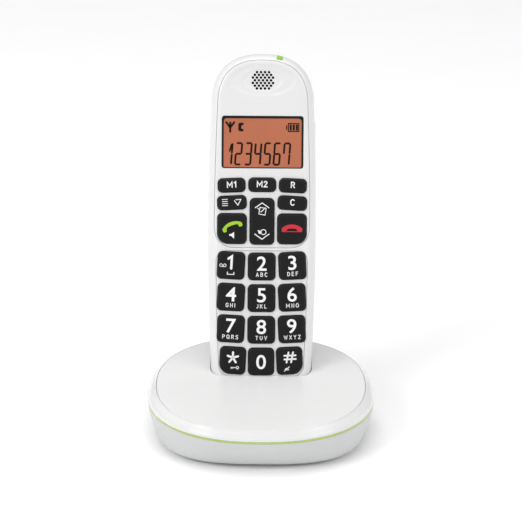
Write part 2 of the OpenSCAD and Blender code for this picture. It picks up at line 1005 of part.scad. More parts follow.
module base_screws() {
    color(steel) standing()
        at_base_screws() {
            translate([0, 0, 2.2])
                cylinder(h = 1.8, r = 2.6, $fn = 32);
            translate([0, 0, 4])
                cylinder(h = 12, r = base_screw_r, $fn = 32);
        }
}

// ----------------------------------------------------------- base, inside

// Board with its coil, radio shield and the two parts of the supply
module base_pcb() {
    color(board_green) standing() {
        translate([-31, -33, base_board_z])
            cube([62, 30, 1.4]);
        translate([-12, -28, base_board_z + 1.4])
            cube([24, 18, 3]);
        for (side = [-1, 1])
            translate([side * 22, -26, base_board_z + 1.4])
                cylinder(h = 6, r = 4, $fn = 32);
    }
}

module base_antennas() {
    color(gold) standing()
        for (side = [-1, 1])
            translate([side * 28.5 - 0.4, -32, base_board_z + 1.4]) {
                cube([0.8, 22, 1.2]);
                cube([0.8, 3, 7]);
                translate([0, 0, 6])
                    cube([0.8, 22, 1]);
            }
}

// Modular socket that opens to the rear
module modular_socket(side, opening_w) {
    opening_h = 7.2;
    opening_l = 10.5;
    color(key_black) standing()
        difference() {
            translate([side * socket_x - socket_w / 2, socket_mouth_y - socket_l, socket_z])
                cube([socket_w, socket_l, socket_h]);
            translate([side * socket_x - opening_w / 2, socket_mouth_y - opening_l,
                socket_z + (socket_h - opening_h) / 2])
                cube([opening_w, opening_l + 1, opening_h]);
            translate([side * socket_x - 1.8, socket_mouth_y - opening_l, socket_z + 1])
                cube([3.6, opening_l + 1, 2]);
        }
}

module line_socket() modular_socket(-1, 10);
module power_socket() modular_socket(1, 8);

// Barrels of the two spring contacts, fixed in the pocket's floor
module charge_barrels() {
    color(steel) docked()
        for (side = [-1, 1])
            translate([side * contact_x, contact_y, barrel_top_z - barrel_l])
                difference() {
                    cylinder(h = barrel_l, r = barrel_r, $fn = 32);
                    translate([0, 0, 0.8])
                        cylinder(h = barrel_l, r = pin_r + run_gap, $fn = 32);
                }
}

// Spring contact pin, with a rounded tip that just meets the handset's plate
module charge_pin(side) {
    tip_z = plate_recess - 0.05;
    color(gold) docked()
        translate([side * contact_x, contact_y, tip_z - pin_l])
            rotate_extrude($fn = 32)
                difference() {
                    union() {
                        square([pin_r, pin_l - pin_r]);
                        translate([0, pin_l - pin_r])
                            circle(r = pin_r, $fn = 32);
                    }
                    translate([-2 * pin_r, -pin_r])
                        square([2 * pin_r, 2 * pin_l]);
                }
}

module charge_pin_left() charge_pin(-1);
module charge_pin_right() charge_pin(1);

base_lower_casing();
base_green_band();
base_upper_cover();
base_top_plate();
base_pcb();
base_antennas();
line_socket();
power_socket();
charge_barrels();
charge_pin_left();
charge_pin_right();
page_button();
rubber_feet();
base_screws();
handset_front_cover();
handset_rear_cover();
upper_face_panel();
keypad_face_panel();
display_lens();
lcd_module();
earpiece_speaker();
ringer_speaker();
microphone();
main_pcb();
keypad_mat();
batteries();
battery_contacts();
battery_door();
charge_plates();
indicator_light();
handset_screws();
volume_rocker();
nav_rocker();
key_m1();
key_m2();
key_r();
key_menu();
key_c();
key_talk();
key_end();
key_1();
key_2();
key_3();
key_4();
key_5();
key_6();
key_7();
key_8();
key_9();
key_star();
key_0();
key_hash();
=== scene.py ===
import json
import math
import bmesh
import bpy
import numpy as np
from mathutils import Matrix, Vector


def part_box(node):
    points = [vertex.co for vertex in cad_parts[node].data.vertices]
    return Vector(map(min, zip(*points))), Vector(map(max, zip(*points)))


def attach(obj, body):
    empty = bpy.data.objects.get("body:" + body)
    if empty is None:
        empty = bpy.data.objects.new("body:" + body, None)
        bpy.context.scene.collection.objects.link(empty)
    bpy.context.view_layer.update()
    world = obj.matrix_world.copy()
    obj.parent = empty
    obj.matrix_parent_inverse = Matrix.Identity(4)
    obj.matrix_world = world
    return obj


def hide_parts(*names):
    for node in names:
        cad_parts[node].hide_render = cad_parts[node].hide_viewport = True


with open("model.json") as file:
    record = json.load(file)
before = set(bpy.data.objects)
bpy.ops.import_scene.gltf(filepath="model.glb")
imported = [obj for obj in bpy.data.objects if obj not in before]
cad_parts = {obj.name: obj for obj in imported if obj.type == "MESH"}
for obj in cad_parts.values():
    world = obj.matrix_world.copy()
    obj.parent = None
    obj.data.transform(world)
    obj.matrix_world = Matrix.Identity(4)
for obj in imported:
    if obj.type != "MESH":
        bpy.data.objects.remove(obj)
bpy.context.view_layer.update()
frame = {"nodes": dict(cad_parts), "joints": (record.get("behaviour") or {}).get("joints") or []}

# Cordless phone in its charging base. Lengths are millimetres in each part's own
# frame, and go to metres in the row frame when a piece is finished.

MM = 0.001

# ---- places

JOINT = {j["name"]: j for j in frame["joints"]}
up_axis = Vector(JOINT["handset_lift"]["axis"]).normalized()
lean = math.atan2(up_axis.y, up_axis.z)

NAV_Z = 82.9            # the rocker's middle, along the handset
NAV_PIN_Y = -9.95
lean_turn = Matrix.Rotation(-lean, 4, "X")
nav_pin = Vector(JOINT["nav_rocker_tilt"]["pos_m"])
dock = nav_pin - lean_turn @ (Vector((0, NAV_PIN_Y, NAV_Z)) * MM)
HANDSET = Matrix.Translation(dock) @ lean_turn @ Matrix.Scale(MM, 4)

band_low, band_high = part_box("base_green_band")
base_middle = (band_low + band_high) / 2
BASE = Matrix.Translation((base_middle.x, base_middle.y, 0)) @ Matrix.Scale(MM, 4)

# ---- curves


def pchip(xs, ys, q):
    """Smooth curve through the points that never overshoots them."""
    xs, ys, q = (np.asarray(a, float) for a in (xs, ys, q))
    h = np.diff(xs)
    d = np.diff(ys) / h
    m = np.zeros(len(xs))
    m[0], m[-1] = d[0], d[-1]
    for i in range(1, len(xs) - 1):
        if d[i - 1] * d[i] > 0:
            m[i] = 2 * d[i - 1] * d[i] / (d[i - 1] + d[i])
    k = np.clip(np.searchsorted(xs, q) - 1, 0, len(h) - 1)
    t = (q - xs[k]) / h[k]
    return (ys[k] * (2 * t**3 - 3 * t**2 + 1) + ys[k + 1] * (3 * t**2 - 2 * t**3)
            + h[k] * (m[k] * (t**3 - 2 * t**2 + t) + m[k + 1] * (t**3 - t**2)))


def smooth_path(points, steps):
    """Rows of numbers, smoothed column by column, with steps rows to each span."""
    rows = np.array(points, float)
    span = np.linalg.norm(np.diff(rows[:, :2], axis=0), axis=1)
    s = np.concatenate([[0], np.cumsum(span)])
    q = np.concatenate([np.linspace(a, b, steps, endpoint=False)
                        for a, b in zip(s[:-1], s[1:])] + [[s[-1]]])
    return np.stack([pchip(s, rows[:, c], q) for c in range(rows.shape[1])], 1)


def resample(points, count):
    """Closed outline as count points, evenly spaced along its length."""
    p = np.vstack([points, points[:1]])
    s = np.concatenate([[0], np.cumsum(np.linalg.norm(np.diff(p, axis=0), axis=1))])
    q = np.linspace(0, s[-1], count, endpoint=False)
    return np.stack([np.interp(q, s, p[:, 0]), np.interp(q, s, p[:, 1])], 1)


def grown(points, by):
    """Outline moved outwards along its normals. It runs anticlockwise."""
    t = np.roll(points, -1, 0) - np.roll(points, 1, 0)
    t /= np.maximum(np.linalg.norm(t, axis=1, keepdims=True), 1e-9)
    return points + by * np.stack([t[:, 1], -t[:, 0]], 1)


def arc(cx, cz, r, start, stop, steps=10):
    """Points of a circular arc, with its angles in degrees."""
    a = np.radians(np.linspace(start, stop, steps + 1))
    return np.stack([cx + r * np.cos(a), cz + r * np.sin(a)], 1)


# ---- handset forms

LENGTH, WIDTH = 160, 50
FACE_Y = -13            # the face plane; the back plane is as far behind the seam
TOP_CAP, BOTTOM_CAP, CAP_N = 24, 12, 2.4
RING = 360              # points round the handset's rings
FORM_TUCK = 0.04        # keeps the smooth form inside the CAD's facets
FRONT_LEVELS = [(0, 0), (-6, 0), (-9.4, 0.6), (-11.5, 1.7), (-12.6, 3.1),
                (-13, 4.4), (-13, 6)]
BACK_LEVELS = [(0, 0), (3, 0), (6.5, 0.5), (9.5, 1.7), (11.6, 3.6), (12.6, 5.4),
               (13, 7.4), (13, 9.4)]
FRONT_PATH = smooth_path(FRONT_LEVELS, 4)
BACK_PATH = smooth_path(BACK_LEVELS, 4)
FULL_PATH = np.vstack([FRONT_PATH[::-1], BACK_PATH[1:]])


def half_width(z):
    """The handset is widest halfway up, and narrows a little to both ends."""
    return WIDTH / 2 - ((z - LENGTH / 2) / 50) ** 2


def cap_curve(t, z_cap, length):
    """Point of a rounded end: how wide and how far towards the end."""
    c, s = abs(math.cos(t)) ** (2 / CAP_N), abs(math.sin(t)) ** (2 / CAP_N)
    return half_width(z_cap) * c, length * s


def handset_outline():
    """Face outline in the XZ plane, from the bottom round to the right."""
    right = []
    for t in np.linspace(math.pi / 2, 0, 60):
        x, down = cap_curve(t, BOTTOM_CAP, BOTTOM_CAP)
        right.append((x, BOTTOM_CAP - down))
    for z in np.linspace(BOTTOM_CAP, LENGTH - TOP_CAP, 40)[1:-1]:
        right.append((half_width(z), z))
    for t in np.linspace(0, math.pi / 2, 80):
        x, up = cap_curve(t, LENGTH - TOP_CAP, TOP_CAP)
        right.append((x, LENGTH - TOP_CAP + up))
    left = [(-x, z) for x, z in reversed(right[1:-1])]
    return resample(np.array(right + left), RING)


OUTLINE = handset_outline()
FINE_OUTLINE = resample(OUTLINE, 4 * RING)


def face_height(points):
    """Height above the face plane at points of the face: 0 and below."""
    d = np.linalg.norm(points[:, None, :] - FINE_OUTLINE[None], axis=2).min(1)
    return FACE_Y - np.interp(d, FRONT_PATH[:, 1], FRONT_PATH[:, 0])


def xz_ring(points, y):
    """Outline as points that stand in the XZ plane at a depth or depths y."""
    return [(p[0], float(q), p[1]) for p, q in zip(points, np.broadcast_to(y, len(points)))]


def level_rings(path, grow=0):
    """Rings of the handset's form along a path of (depth, inset)."""
    rings = []
    for y, inset in path:
        out = grow * (0 if abs(y) < 1e-6 else math.copysign(1, y))
        rings.append(xz_ring(grown(OUTLINE, grow - inset - FORM_TUCK), y + out))
    return rings


def clipped(points, z0, z1, r):
    """Outline cut off at z0, and at z1 unless that is None, with corners of radius r."""
    half = points[points[:, 0] > 0]
    side = half[np.argsort(half[:, 1])]
    top = LENGTH + 1 if z1 is None else z1 - r
    side = side[(side[:, 1] > z0 + r) & (side[:, 1] < top)]
    x0 = np.interp(z0 + r, half[:, 1], half[:, 0])
    right = [arc(x0 - r, z0 + r, r, -90, 0), side]
    if z1 is not None:
        x1 = side[-1, 0]
        right.append(arc(x1 - r, z1 - r, r, 0, 90))
    right = np.vstack(right)
    left = right[::-1] * (-1, 1)
    return resample(np.vstack([right, left]), RING)


UPPER_PANEL = clipped(grown(OUTLINE, -3.1), 70.8, None, 9)
KEYPAD_PANEL = clipped(grown(OUTLINE, -3.9), 11.4, 69.2, 5)
PANELS_MEET_Z = 70
PANEL_BACK_Y = -11.6
WALL_BACK_Y = -10.8
SHELL_WALL = 3.4
FIT_GAP = 0.15

# ---- meshes


def new_object(name, data):
    obj = bpy.data.objects.new(name, data)
    bpy.context.scene.collection.objects.link(obj)
    return obj


def from_faces(name, verts, faces):
    """Mesh object whose doubled points are merged and whose faces look outwards."""
    mesh = bpy.data.meshes.new(name)
    mesh.from_pydata([tuple(map(float, v)) for v in verts], [], faces)
    bm = bmesh.new()
    bm.from_mesh(mesh)
    bmesh.ops.remove_doubles(bm, verts=bm.verts, dist=1e-5)
    bmesh.ops.recalc_face_normals(bm, faces=bm.faces)
    bm.to_mesh(mesh)
    bm.free()
    return new_object(name, mesh)


def loft(name, rings, loop=False):
    """Skin over rings of equal length: closed with two caps, or round to the first ring."""
    n, count = len(rings[0]), len(rings)
    verts = [p for ring in rings for p in ring]
    faces = []
    for i in range(count if loop else count - 1):
        a, b = i * n, (i + 1) % count * n
        faces += [(a + k, a + (k + 1) % n, b + (k + 1) % n, b + k) for k in range(n)]
    if not loop:
        faces += [tuple(range(n)), tuple(range((count - 1) * n, count * n))]
    return from_faces(name, verts, faces)


def joined(objs):
    """One object with the meshes of several, which are used up."""
    bm = bmesh.new()
    for o in objs:
        bm.from_mesh(o.data)
    mesh = bpy.data.meshes.new(objs[0].name)
    bm.to_mesh(mesh)
    bm.free()
    for o in objs:
        bpy.data.objects.remove(o)
    return new_object(mesh.name, mesh)


def applied(obj):
    """Gives obj the mesh that its modifiers make."""
    dg = bpy.context.evaluated_depsgraph_get()
    mesh = bpy.data.meshes.new_from_object(obj.evaluated_get(dg))
    obj.modifiers.clear()
    obj.data = mesh
    return obj


def combined(obj, operation, *groups):
    """Boolean of obj with each group of tools in turn. The tools are used up."""
    for group in groups:
        tool = joined(group)
        m = obj.modifiers.new("cut", "BOOLEAN")
        m.operation, m.solver, m.object = operation, "EXACT", tool
        applied(obj)
        bpy.data.objects.remove(tool)
    return obj


def cut(obj, *groups):
    """Takes the tools away from obj. The tools of one group don't touch each other."""
    return combined(obj, "DIFFERENCE", *groups)


def bevelled(obj, width, segments=3, angle=40):
    m = obj.modifiers.new("bevel", "BEVEL")
    m.width, m.segments, m.limit_method = width, segments, "ANGLE"
    m.angle_limit = math.radians(angle)
    return applied(obj)


def moved(obj, matrix):
    obj.data.transform(matrix)
    return obj


def at(x, y, z):
    return Matrix.Translation((x, y, z))


def span(middle, half):
    """Limits of a length about its middle."""
    return (middle - half, middle + half)


def block(name, x, y, z):
    """Box between three pairs of limits, as a mesh to cut or bevel."""
    verts = [(a, b, c) for a in x for b in y for c in z]
    faces = [(0, 1, 3, 2), (4, 6, 7, 5), (0, 4, 5, 1), (2, 3, 7, 6), (0, 2, 6, 4), (1, 5, 7, 3)]
    return from_faces(name, verts, faces)


def turned(name, profile, axis="Z", steps=48):
    """Solid of revolution about an axis from rows of (radius, height)."""
    turns = [2 * math.pi * k / steps for k in range(steps)]
    obj = loft(name, [[(r * math.cos(t), r * math.sin(t), h) for t in turns] for r, h in profile])
    if axis == "Y":
        moved(obj, Matrix.Rotation(-math.pi / 2, 4, "X"))
    if axis == "X":
        moved(obj, Matrix.Rotation(math.pi / 2, 4, "Y"))
    return obj


def disc(r, h0, h1, soft=0.0, **more):
    """Turned disc or rod from h0 to h1, with its rims softened by a radius."""
    rows = [(r, h0), (r, h1)]
    if soft:
        turns = np.linspace(0, math.pi / 2, 5)
        rows = [(r - soft + soft * math.sin(a), h0 + soft - soft * math.cos(a)) for a in turns]
        rows += [(r - soft + soft * math.cos(a), h1 - soft + soft * math.sin(a)) for a in turns]
    return turned("disc", rows, **more)


def finished(obj, name, matrix, body, material, nodes=(), sharp=38):
    """Puts a piece in the row frame, smooths it, gives it its name and material, hangs it on its body
    and hides the CAD nodes that it stands for.
    """
    moved(obj, matrix)
    obj.name = obj.data.name = name
    obj.data.shade_smooth()
    obj.data.set_sharp_from_angle(angle=math.radians(sharp))
    obj.data.materials.clear()
    obj.data.materials.append(material)
    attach(obj, body)
    if nodes:
        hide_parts(*nodes)
    return obj


def on_handset(obj, name, look, nodes=(), body="handset"):
    finished(obj, name, HANDSET, body, look, nodes)


def on_base(obj, name, look, nodes=(), body="base"):
    finished(obj, name, BASE, body, look, nodes)


# ---- materials


DRIFT_SIZE, SHINE_SIZE, SPECK_SIZE = 28, 6, 0.35
NOISE_LOW, NOISE_HIGH = 0.3, 0.7    # where nearly all of a noise's values lie
SPECK_SHADE = 0.55
GRAIN_STRENGTH = 0.6


def material(name, colour, rough, grain=0.0, grain_size=0.4, drift=0.03, spread=0.05,
             speck=0.0, **shader):
    """Moulded material. Its colour drifts over a few centimetres and may be specked
    finely, its roughness changes, and its surface may have a fine grain of the given
    depth and size in millimetres. Other values go on the shader's own sockets."""
    m = bpy.data.materials.new(name)
    m.use_nodes = True
    nt = m.node_tree
    bsdf = nt.nodes["Principled BSDF"]
    tex = nt.nodes.new("ShaderNodeTexCoord")

    def noise(size, detail):
        n = nt.nodes.new("ShaderNodeTexNoise")
        n.inputs["Scale"].default_value = 1 / (size * MM)
        n.inputs["Detail"].default_value = detail
        nt.links.new(tex.outputs["Object"], n.inputs["Vector"])
        return n.outputs["Fac"]

    def ranged(fac, low, high):
        r = nt.nodes.new("ShaderNodeMapRange")
        limits = {"From Min": NOISE_LOW, "From Max": NOISE_HIGH, "To Min": low, "To Max": high}
        for socket, value in limits.items():
            r.inputs[socket].default_value = value
        nt.links.new(fac, r.inputs["Value"])
        return r.outputs["Result"]

    def mixed(fac, a, b):
        x = nt.nodes.new("ShaderNodeMix")
        x.data_type = "RGBA"
        nt.links.new(fac, x.inputs["Factor"])
        for socket, value in ((x.inputs[6], a), (x.inputs[7], b)):
            if isinstance(value, bpy.types.NodeSocket):
                nt.links.new(value, socket)
            else:
                socket.default_value = (*value, 1)
        return x.outputs[2]

    def scaled(rgb, k):
        return [min(1.0, c * k) for c in rgb]

    broad = ranged(noise(DRIFT_SIZE, 2), 0, 1)
    tint = mixed(broad, scaled(colour, 1 - drift), scaled(colour, 1 + drift))
    if speck:
        tint = mixed(ranged(noise(SPECK_SIZE, 1), 0, speck), tint, scaled(colour, SPECK_SHADE))
    nt.links.new(tint, bsdf.inputs["Base Color"])
    shine = ranged(noise(SHINE_SIZE, 3), rough - spread, rough + spread)
    nt.links.new(shine, bsdf.inputs["Roughness"])
    if grain:
        b = nt.nodes.new("ShaderNodeBump")
        b.inputs["Strength"].default_value = GRAIN_STRENGTH
        b.inputs["Distance"].default_value = grain * MM
        nt.links.new(noise(grain_size, 3), b.inputs["Height"])
        nt.links.new(b.outputs["Normal"], bsdf.inputs["Normal"])
    for socket, value in shader.items():
        bsdf.inputs[socket.replace("_", " ")].default_value = value
    return m


WHITE = material("shell_plastic", (0.745, 0.745, 0.742), 0.30, drift=0.012, spread=0.015,
                 Coat_Weight=0.15, Coat_Roughness=0.25)
PANEL = material("panel_plastic", (0.70, 0.70, 0.698), 0.32, drift=0.012, spread=0.015,
                 Coat_Weight=0.15, Coat_Roughness=0.25)
GLOSS = material("base_gloss_plastic", (0.735, 0.735, 0.732), 0.20, grain=0.003, grain_size=0.5,
                 drift=0.012, Coat_Weight=0.35, Coat_Roughness=0.12)
CASING = material("casing_plastic", (0.57, 0.575, 0.575), 0.42, grain=0.03, grain_size=0.35,
                  drift=0.02)
GREEN = material("trim_plastic", (0.40, 0.53, 0.14), 0.28, grain=0.006, drift=0.04,
                 Coat_Weight=0.3, Coat_Roughness=0.15)
LAMP = material("lamp_lens", (0.22, 0.47, 0.015), 0.22, grain=0.004, drift=0.10,
                Subsurface_Weight=0.2, Subsurface_Scale=0.001,
                Emission_Color=(0.35, 0.75, 0.02, 1), Emission_Strength=0.18)
KEY = material("key_rubber", (0.0045, 0.0045, 0.005), 0.52, grain=0.010, grain_size=0.22,
               drift=0.15, speck=0.05, Specular_IOR_Level=0.25)
PRINT = material("key_print", (0.82, 0.82, 0.82), 0.42, grain=0.004, drift=0.03, speck=0.05)
PRINT_GREEN = material("key_print_green", (0.31, 0.54, 0.02), 0.42, grain=0.004, drift=0.05)
PRINT_RED = material("key_print_red", (0.53, 0.018, 0.035), 0.42, grain=0.004, drift=0.05)
BLACK = material("black_plastic", (0.006, 0.006, 0.007), 0.34, grain=0.004, drift=0.12, speck=0.04,
                 Specular_IOR_Level=0.25)
# Near-black matt material that paints the shade at the bottom of the earpiece holes.
EAR_HOLE_SHADE = material("ear_hole_painted_shade", (0.003, 0.003, 0.003), 0.9, drift=0.2, Specular_IOR_Level=0.0)
PLATE = material("base_satin_plastic", (0.735, 0.735, 0.732), 0.34, drift=0.012, spread=0.02,
                 Coat_Weight=0.12, Coat_Roughness=0.2)
AMBER = material("display_amber", (0.43, 0.130, 0.062), 0.16, grain=0.002, grain_size=1.5,
                 drift=0.05, Coat_Weight=0.4, Coat_Roughness=0.04)
INK = material("display_segments", (0.012, 0.006, 0.005), 0.35, drift=0.10, Specular_IOR_Level=0.15)
RUBBER = material("foot_rubber", (0.030, 0.030, 0.031), 0.75, grain=0.05, grain_size=0.5,
                  drift=0.2, speck=0.2)
STEEL = material("screw_steel", (0.50, 0.51, 0.53), 0.30, grain=0.012, grain_size=0.25,
                 drift=0.06, Metallic=1.0)
GOLD = material("contact_gold", (0.80, 0.56, 0.22), 0.22, grain=0.006, grain_size=0.3,
                drift=0.08, Metallic=1.0)
SILICONE = material("keypad_silicone", (0.60, 0.60, 0.57), 0.60, grain=0.02, drift=0.05)
CELL = material("cell_jacket", (0.05, 0.24, 0.09), 0.26, grain=0.006, drift=0.10,
                Coat_Weight=0.5, Coat_Roughness=0.1)
BOARD = material("circuit_board", (0.02, 0.13, 0.05), 0.35, grain=0.03, grain_size=0.8,
                 drift=0.2, speck=0.35, Coat_Weight=0.4)

# ---- flat marks


def capsule(points, width):
    """Outline of a line of the given width with round ends and mitred bends."""
    p = np.array(points, float)
    t = np.diff(p, axis=0)
    t /= np.linalg.norm(t, axis=1, keepdims=True)
    n = np.stack([-t[:, 1], t[:, 0]], 1)
    joint = np.vstack([n[:1], n[:-1] + n[1:], n[-1:]])
    joint /= np.linalg.norm(joint, axis=1, keepdims=True)
    bend = np.clip((1 + (n[:-1] * n[1:]).sum(1)) / 2, 0.2, 1)
    cosine = np.concatenate([[1], np.sqrt(bend), [1]])
    side = joint * (width / 2 / cosine)[:, None]
    first = math.degrees(math.atan2(n[0, 1], n[0, 0]))
    last = math.degrees(math.atan2(-n[-1, 1], -n[-1, 0]))
    start = arc(p[0, 0], p[0, 1], width / 2, first, first + 180, 8)
    end = arc(p[-1, 0], p[-1, 1], width / 2, last, last + 180, 8)
    return np.vstack([start, (p - side)[1:-1], end, (p + side)[1:-1][::-1]])


def slab(outlines, low, high):
    """Closed flat solids over outlines in the UV plane, from height low to high."""
    bm = bmesh.new()
    for points in outlines:
        keep = [points[0]]
        for q in points[1:]:
            if np.linalg.norm(np.array(q) - keep[-1]) > 1e-3:
                keep.append(q)
        base = [bm.verts.new((float(u), float(v), low)) for u, v in keep]
        top = [bm.verts.new((float(u), float(v), high)) for u, v in keep]
        bm.faces.new(base[::-1])
        bm.faces.new(top)
        n = len(base)
        for k in range(n):
            bm.faces.new((base[k], base[(k + 1) % n], top[(k + 1) % n], top[k]))
    bmesh.ops.recalc_face_normals(bm, faces=bm.faces)
    bmesh.ops.triangulate(bm, faces=[f for f in bm.faces if len(f.verts) > 4])
    mesh = bpy.data.meshes.new("slab")
    bm.to_mesh(mesh)
    bm.free()
    return new_object("slab", mesh)


MARK_LOW, MARK_HIGH = -0.02, 0.022      # a print sits just proud of its surface


def printed_digit(digit, v, height, bold, wide):
    """Raised print of a digit in the built-in font, with its middle at (0, v)."""
    curve = bpy.data.curves.new("digit", "FONT")
    curve.body, curve.offset, curve.extrude = digit, bold, 0.5
    curve.resolution_u = 6
    source = new_object("digit", curve)
    bpy.context.view_layer.update()
    mesh = bpy.data.meshes.new_from_object(source)
    bpy.data.objects.remove(source)
    co = np.array([w.co for w in mesh.vertices])
    low, high = co.min(0), co.max(0)
    k = height / (high[1] - low[1])
    middle = (low + high) / 2
    size = Matrix.Diagonal((k * wide, k, MARK_HIGH - MARK_LOW, 1))
    mesh.transform(size @ at(-middle[0], -middle[1], 0))
    mesh.transform(at(0, v, (MARK_HIGH + MARK_LOW) / 2))
    bm = bmesh.new()
    bm.from_mesh(mesh)
    bmesh.ops.remove_doubles(bm, verts=bm.verts, dist=1e-4)
    bm.to_mesh(mesh)
    bm.free()
    return new_object("digit", mesh)


def strokes(lines, width):
    """Raised print of lines."""
    return slab([capsule(line, width) for line in lines], MARK_LOW, MARK_HIGH)


def fills(outlines):
    """Raised print of filled outlines."""
    return slab(outlines, MARK_LOW, MARK_HIGH)


def rect(u, v, w, h):
    """Outline of a rectangle with its middle at (u, v)."""
    w, h = w / 2, h / 2
    return [(u - w, v - h), (u + w, v - h), (u + w, v + h), (u - w, v + h)]


def placed(outline, u, v, turn=0.0):
    """Outline turned by degrees and put at (u, v)."""
    c, s = math.cos(math.radians(turn)), math.sin(math.radians(turn))
    return [(u + c * x - s * y, v + s * x + c * y) for x, y in outline]


# Capital letters and digits, as the points of lines in a box 100 units high
ROUND = "22,0 0,26 0,74 22,100 46,100 68,74 68,26 46,0 22,0"
BOWL = "0,0 0,100 36,100 54,86 54,60 36,45 0,45"
GLYPHS = {
    "A": "0,0 33,100 66,0 / 13,30 53,30",
    "B": "0,53 36,53 50,66 50,87 36,100 0,100 0,0 / 0,0 40,0 55,14 55,39 36,53",
    "C": "60,86 44,100 22,100 0,74 0,26 22,0 44,0 60,14",
    "D": "0,0 0,100 30,100 58,74 58,26 30,0 0,0",
    "E": "50,100 0,100 0,0 50,0 / 0,52 42,52",
    "F": "50,100 0,100 0,0 / 0,50 42,50",
    "G": "62,86 44,100 22,100 0,74 0,26 22,0 46,0 62,16 62,48 38,48",
    "H": "0,0 0,100 / 58,0 58,100 / 0,52 58,52",
    "I": "0,0 0,100",
    "J": "36,100 36,20 20,0 0,10",
    "K": "0,0 0,100 / 54,100 2,45 / 20,62 58,0",
    "L": "0,100 0,0 45,0",
    "M": "0,0 0,100 43,30 86,100 86,0",
    "N": "0,0 0,100 58,0 58,100",
    "O": ROUND,
    "P": BOWL,
    "Q": ROUND + " / 42,28 70,-4",
    "R": BOWL + " / 30,45 60,0",
    "S": "52,88 36,100 15,100 0,84 4,62 48,40 54,18 38,0 15,0 0,12",
    "T": "0,100 60,100 / 30,100 30,0",
    "U": "0,100 0,22 18,0 40,0 58,22 58,100",
    "V": "0,100 32,0 64,100",
    "W": "0,100 22,0 45,85 68,0 90,100",
    "X": "0,0 58,100 / 0,100 58,0",
    "Y": "0,100 30,50 60,100 / 30,50 30,0",
    "Z": "0,100 56,100 2,0 58,0",
    "1": "0,80 27,100 27,0",
    "2": "0,80 10,94 28,100 48,90 50,66 0,0 56,0",
}


def glyph_lines(letter):
    """Lines of a character as lists of points."""
    return [[tuple(map(int, point.split(","))) for point in line.split()]
            for line in GLYPHS[letter].split("/")]


def capitals(text, u, v, height, width, gap):
    """Raised print of characters drawn as lines, with its middle at (u, v)."""
    unit, x, lines = (height - width) / 100, 0.0, []
    for letter in text:
        drawn = glyph_lines(letter)
        lines += [[(x + unit * a, unit * (b - 50)) for a, b in line] for line in drawn]
        x += unit * max(a for line in drawn for a, b in line) + width + gap
    shift = u - (x - width - gap) / 2
    return strokes([[(a + shift, b + v) for a, b in line] for line in lines], width)


def receiver(u, v, turn, hollow, w):
    """Telephone receiver seen from the side, as one outline 9.5 mm long. The hollow
    under its handle rises above the ear pieces, and w is half its width."""
    back = [tuple(p) for p in arc(0, -5.4, 7.2, 49, 131, 14)]
    ear = -1.7
    top = ear + hollow
    under = [(-w, top - 0.5), (0.7 - w, top), (0, top + 0.15), (w - 0.7, top), (w, top - 0.5)]
    left = [(-4.75, -1.2), (-4.4, ear), (-w - 0.5, ear), (-w - 0.1, -1.4)]
    right = [(-x, y) for x, y in reversed(left)]
    return placed(back + left + under + right, u, v, turn)


# ---- keys

KEY_BACK = -3.1         # heights above the face plane
KEY_TOP = 1.2
KEY_GAP = 0.25
HOLE_LIP, PANEL_LIP = 0.22, 0.24    # radii of the softened rims
KEY_R, BIG_KEY_R = 2, 4.8
KEY_BEVEL = [(0, KEY_BACK), (0, 0.30), (-0.04, 0.55), (-0.13, 0.76), (-0.29, 0.95),
             (-0.50, 1.08), (-0.78, 1.165), (-1.15, KEY_TOP), (-2.0, KEY_TOP)]


def face_place(x, z, turn, height=0.0):
    """Matrix from a key's own plane to the handset's frame. Its third axis points
    out of the face, and turn is anticlockwise in degrees."""
    return (at(x, FACE_Y - height, z) @ Matrix.Rotation(math.pi / 2, 4, "X")
            @ Matrix.Rotation(math.radians(turn), 4, "Z"))


def soft_rim(gap, lip, above):
    """Rows of (growth, height) for the rounded mouth of a hole cut in the face."""
    rows = [(gap + lip, above), (gap + lip, 0.01)]
    return rows + [(gap + lip * (1 - math.sin(a)), -lip * (1 - math.cos(a)))
                   for a in np.linspace(0.35, math.pi / 2, 4)]


def key_outline(w, h, r_left=KEY_R, r_right=KEY_R, grow=0.0, r_top=KEY_R):
    """Rounded rectangle with its own radii at the lower left, lower right and top."""
    w, h = w / 2 + grow, h / 2 + grow
    r0, r1, r2 = (max(0.15, r + grow) for r in (r_top, r_left, r_right))
    return np.vstack([arc(w - r0, h - r0, r0, 0, 90, 12), arc(r0 - w, h - r0, r0, 90, 180, 12),
                      arc(r1 - w, r1 - h, r1, 180, 270, 12), arc(w - r2, r2 - h, r2, 270, 360, 12)])


def key_rings(shape, profile):
    return [[(u, v, height) for u, v in key_outline(**shape, grow=g)] for g, height in profile]


class Key:
    """A key: its body's name, its place and turn on the face, and its outline."""

    def __init__(self, name, x, z, w, h, turn=0.0, r_left=KEY_R, r_right=KEY_R):
        self.name, self.x, self.z, self.turn = name, x, z, turn
        self.shape = {"w": w, "h": h, "r_left": r_left, "r_right": r_right}

    def place(self, height=0.0):
        return HANDSET @ face_place(self.x, self.z, self.turn, height)

    def opening(self):
        """Tool that cuts the key's hole in the face, with a softened rim."""
        rings = key_rings(self.shape, soft_rim(KEY_GAP, HOLE_LIP, 2) + [(KEY_GAP, -4)])
        return moved(loft("opening", rings), face_place(self.x, self.z, self.turn))


ROW_Z, ROW_PITCH, COLUMN = 62.1, 14.6, 14.1
KEY_W, KEY_H, TILT = 12.2, 12.3, 3
OUTER_RISE = 0.45                   # the outer keys of a row stand a little higher
LAST_IN, LAST_LESS = 1, 0.6         # the last row is closer together and narrower
SMALL_W, SMALL_H, WIDE_W = 12.3, 6.15, 13.1
MEMORY_Z, MENU_Z = 99.7, 91.4
CALL_X, CALL_Z, CALL_H = COLUMN - 0.3, 79.5, 13.7


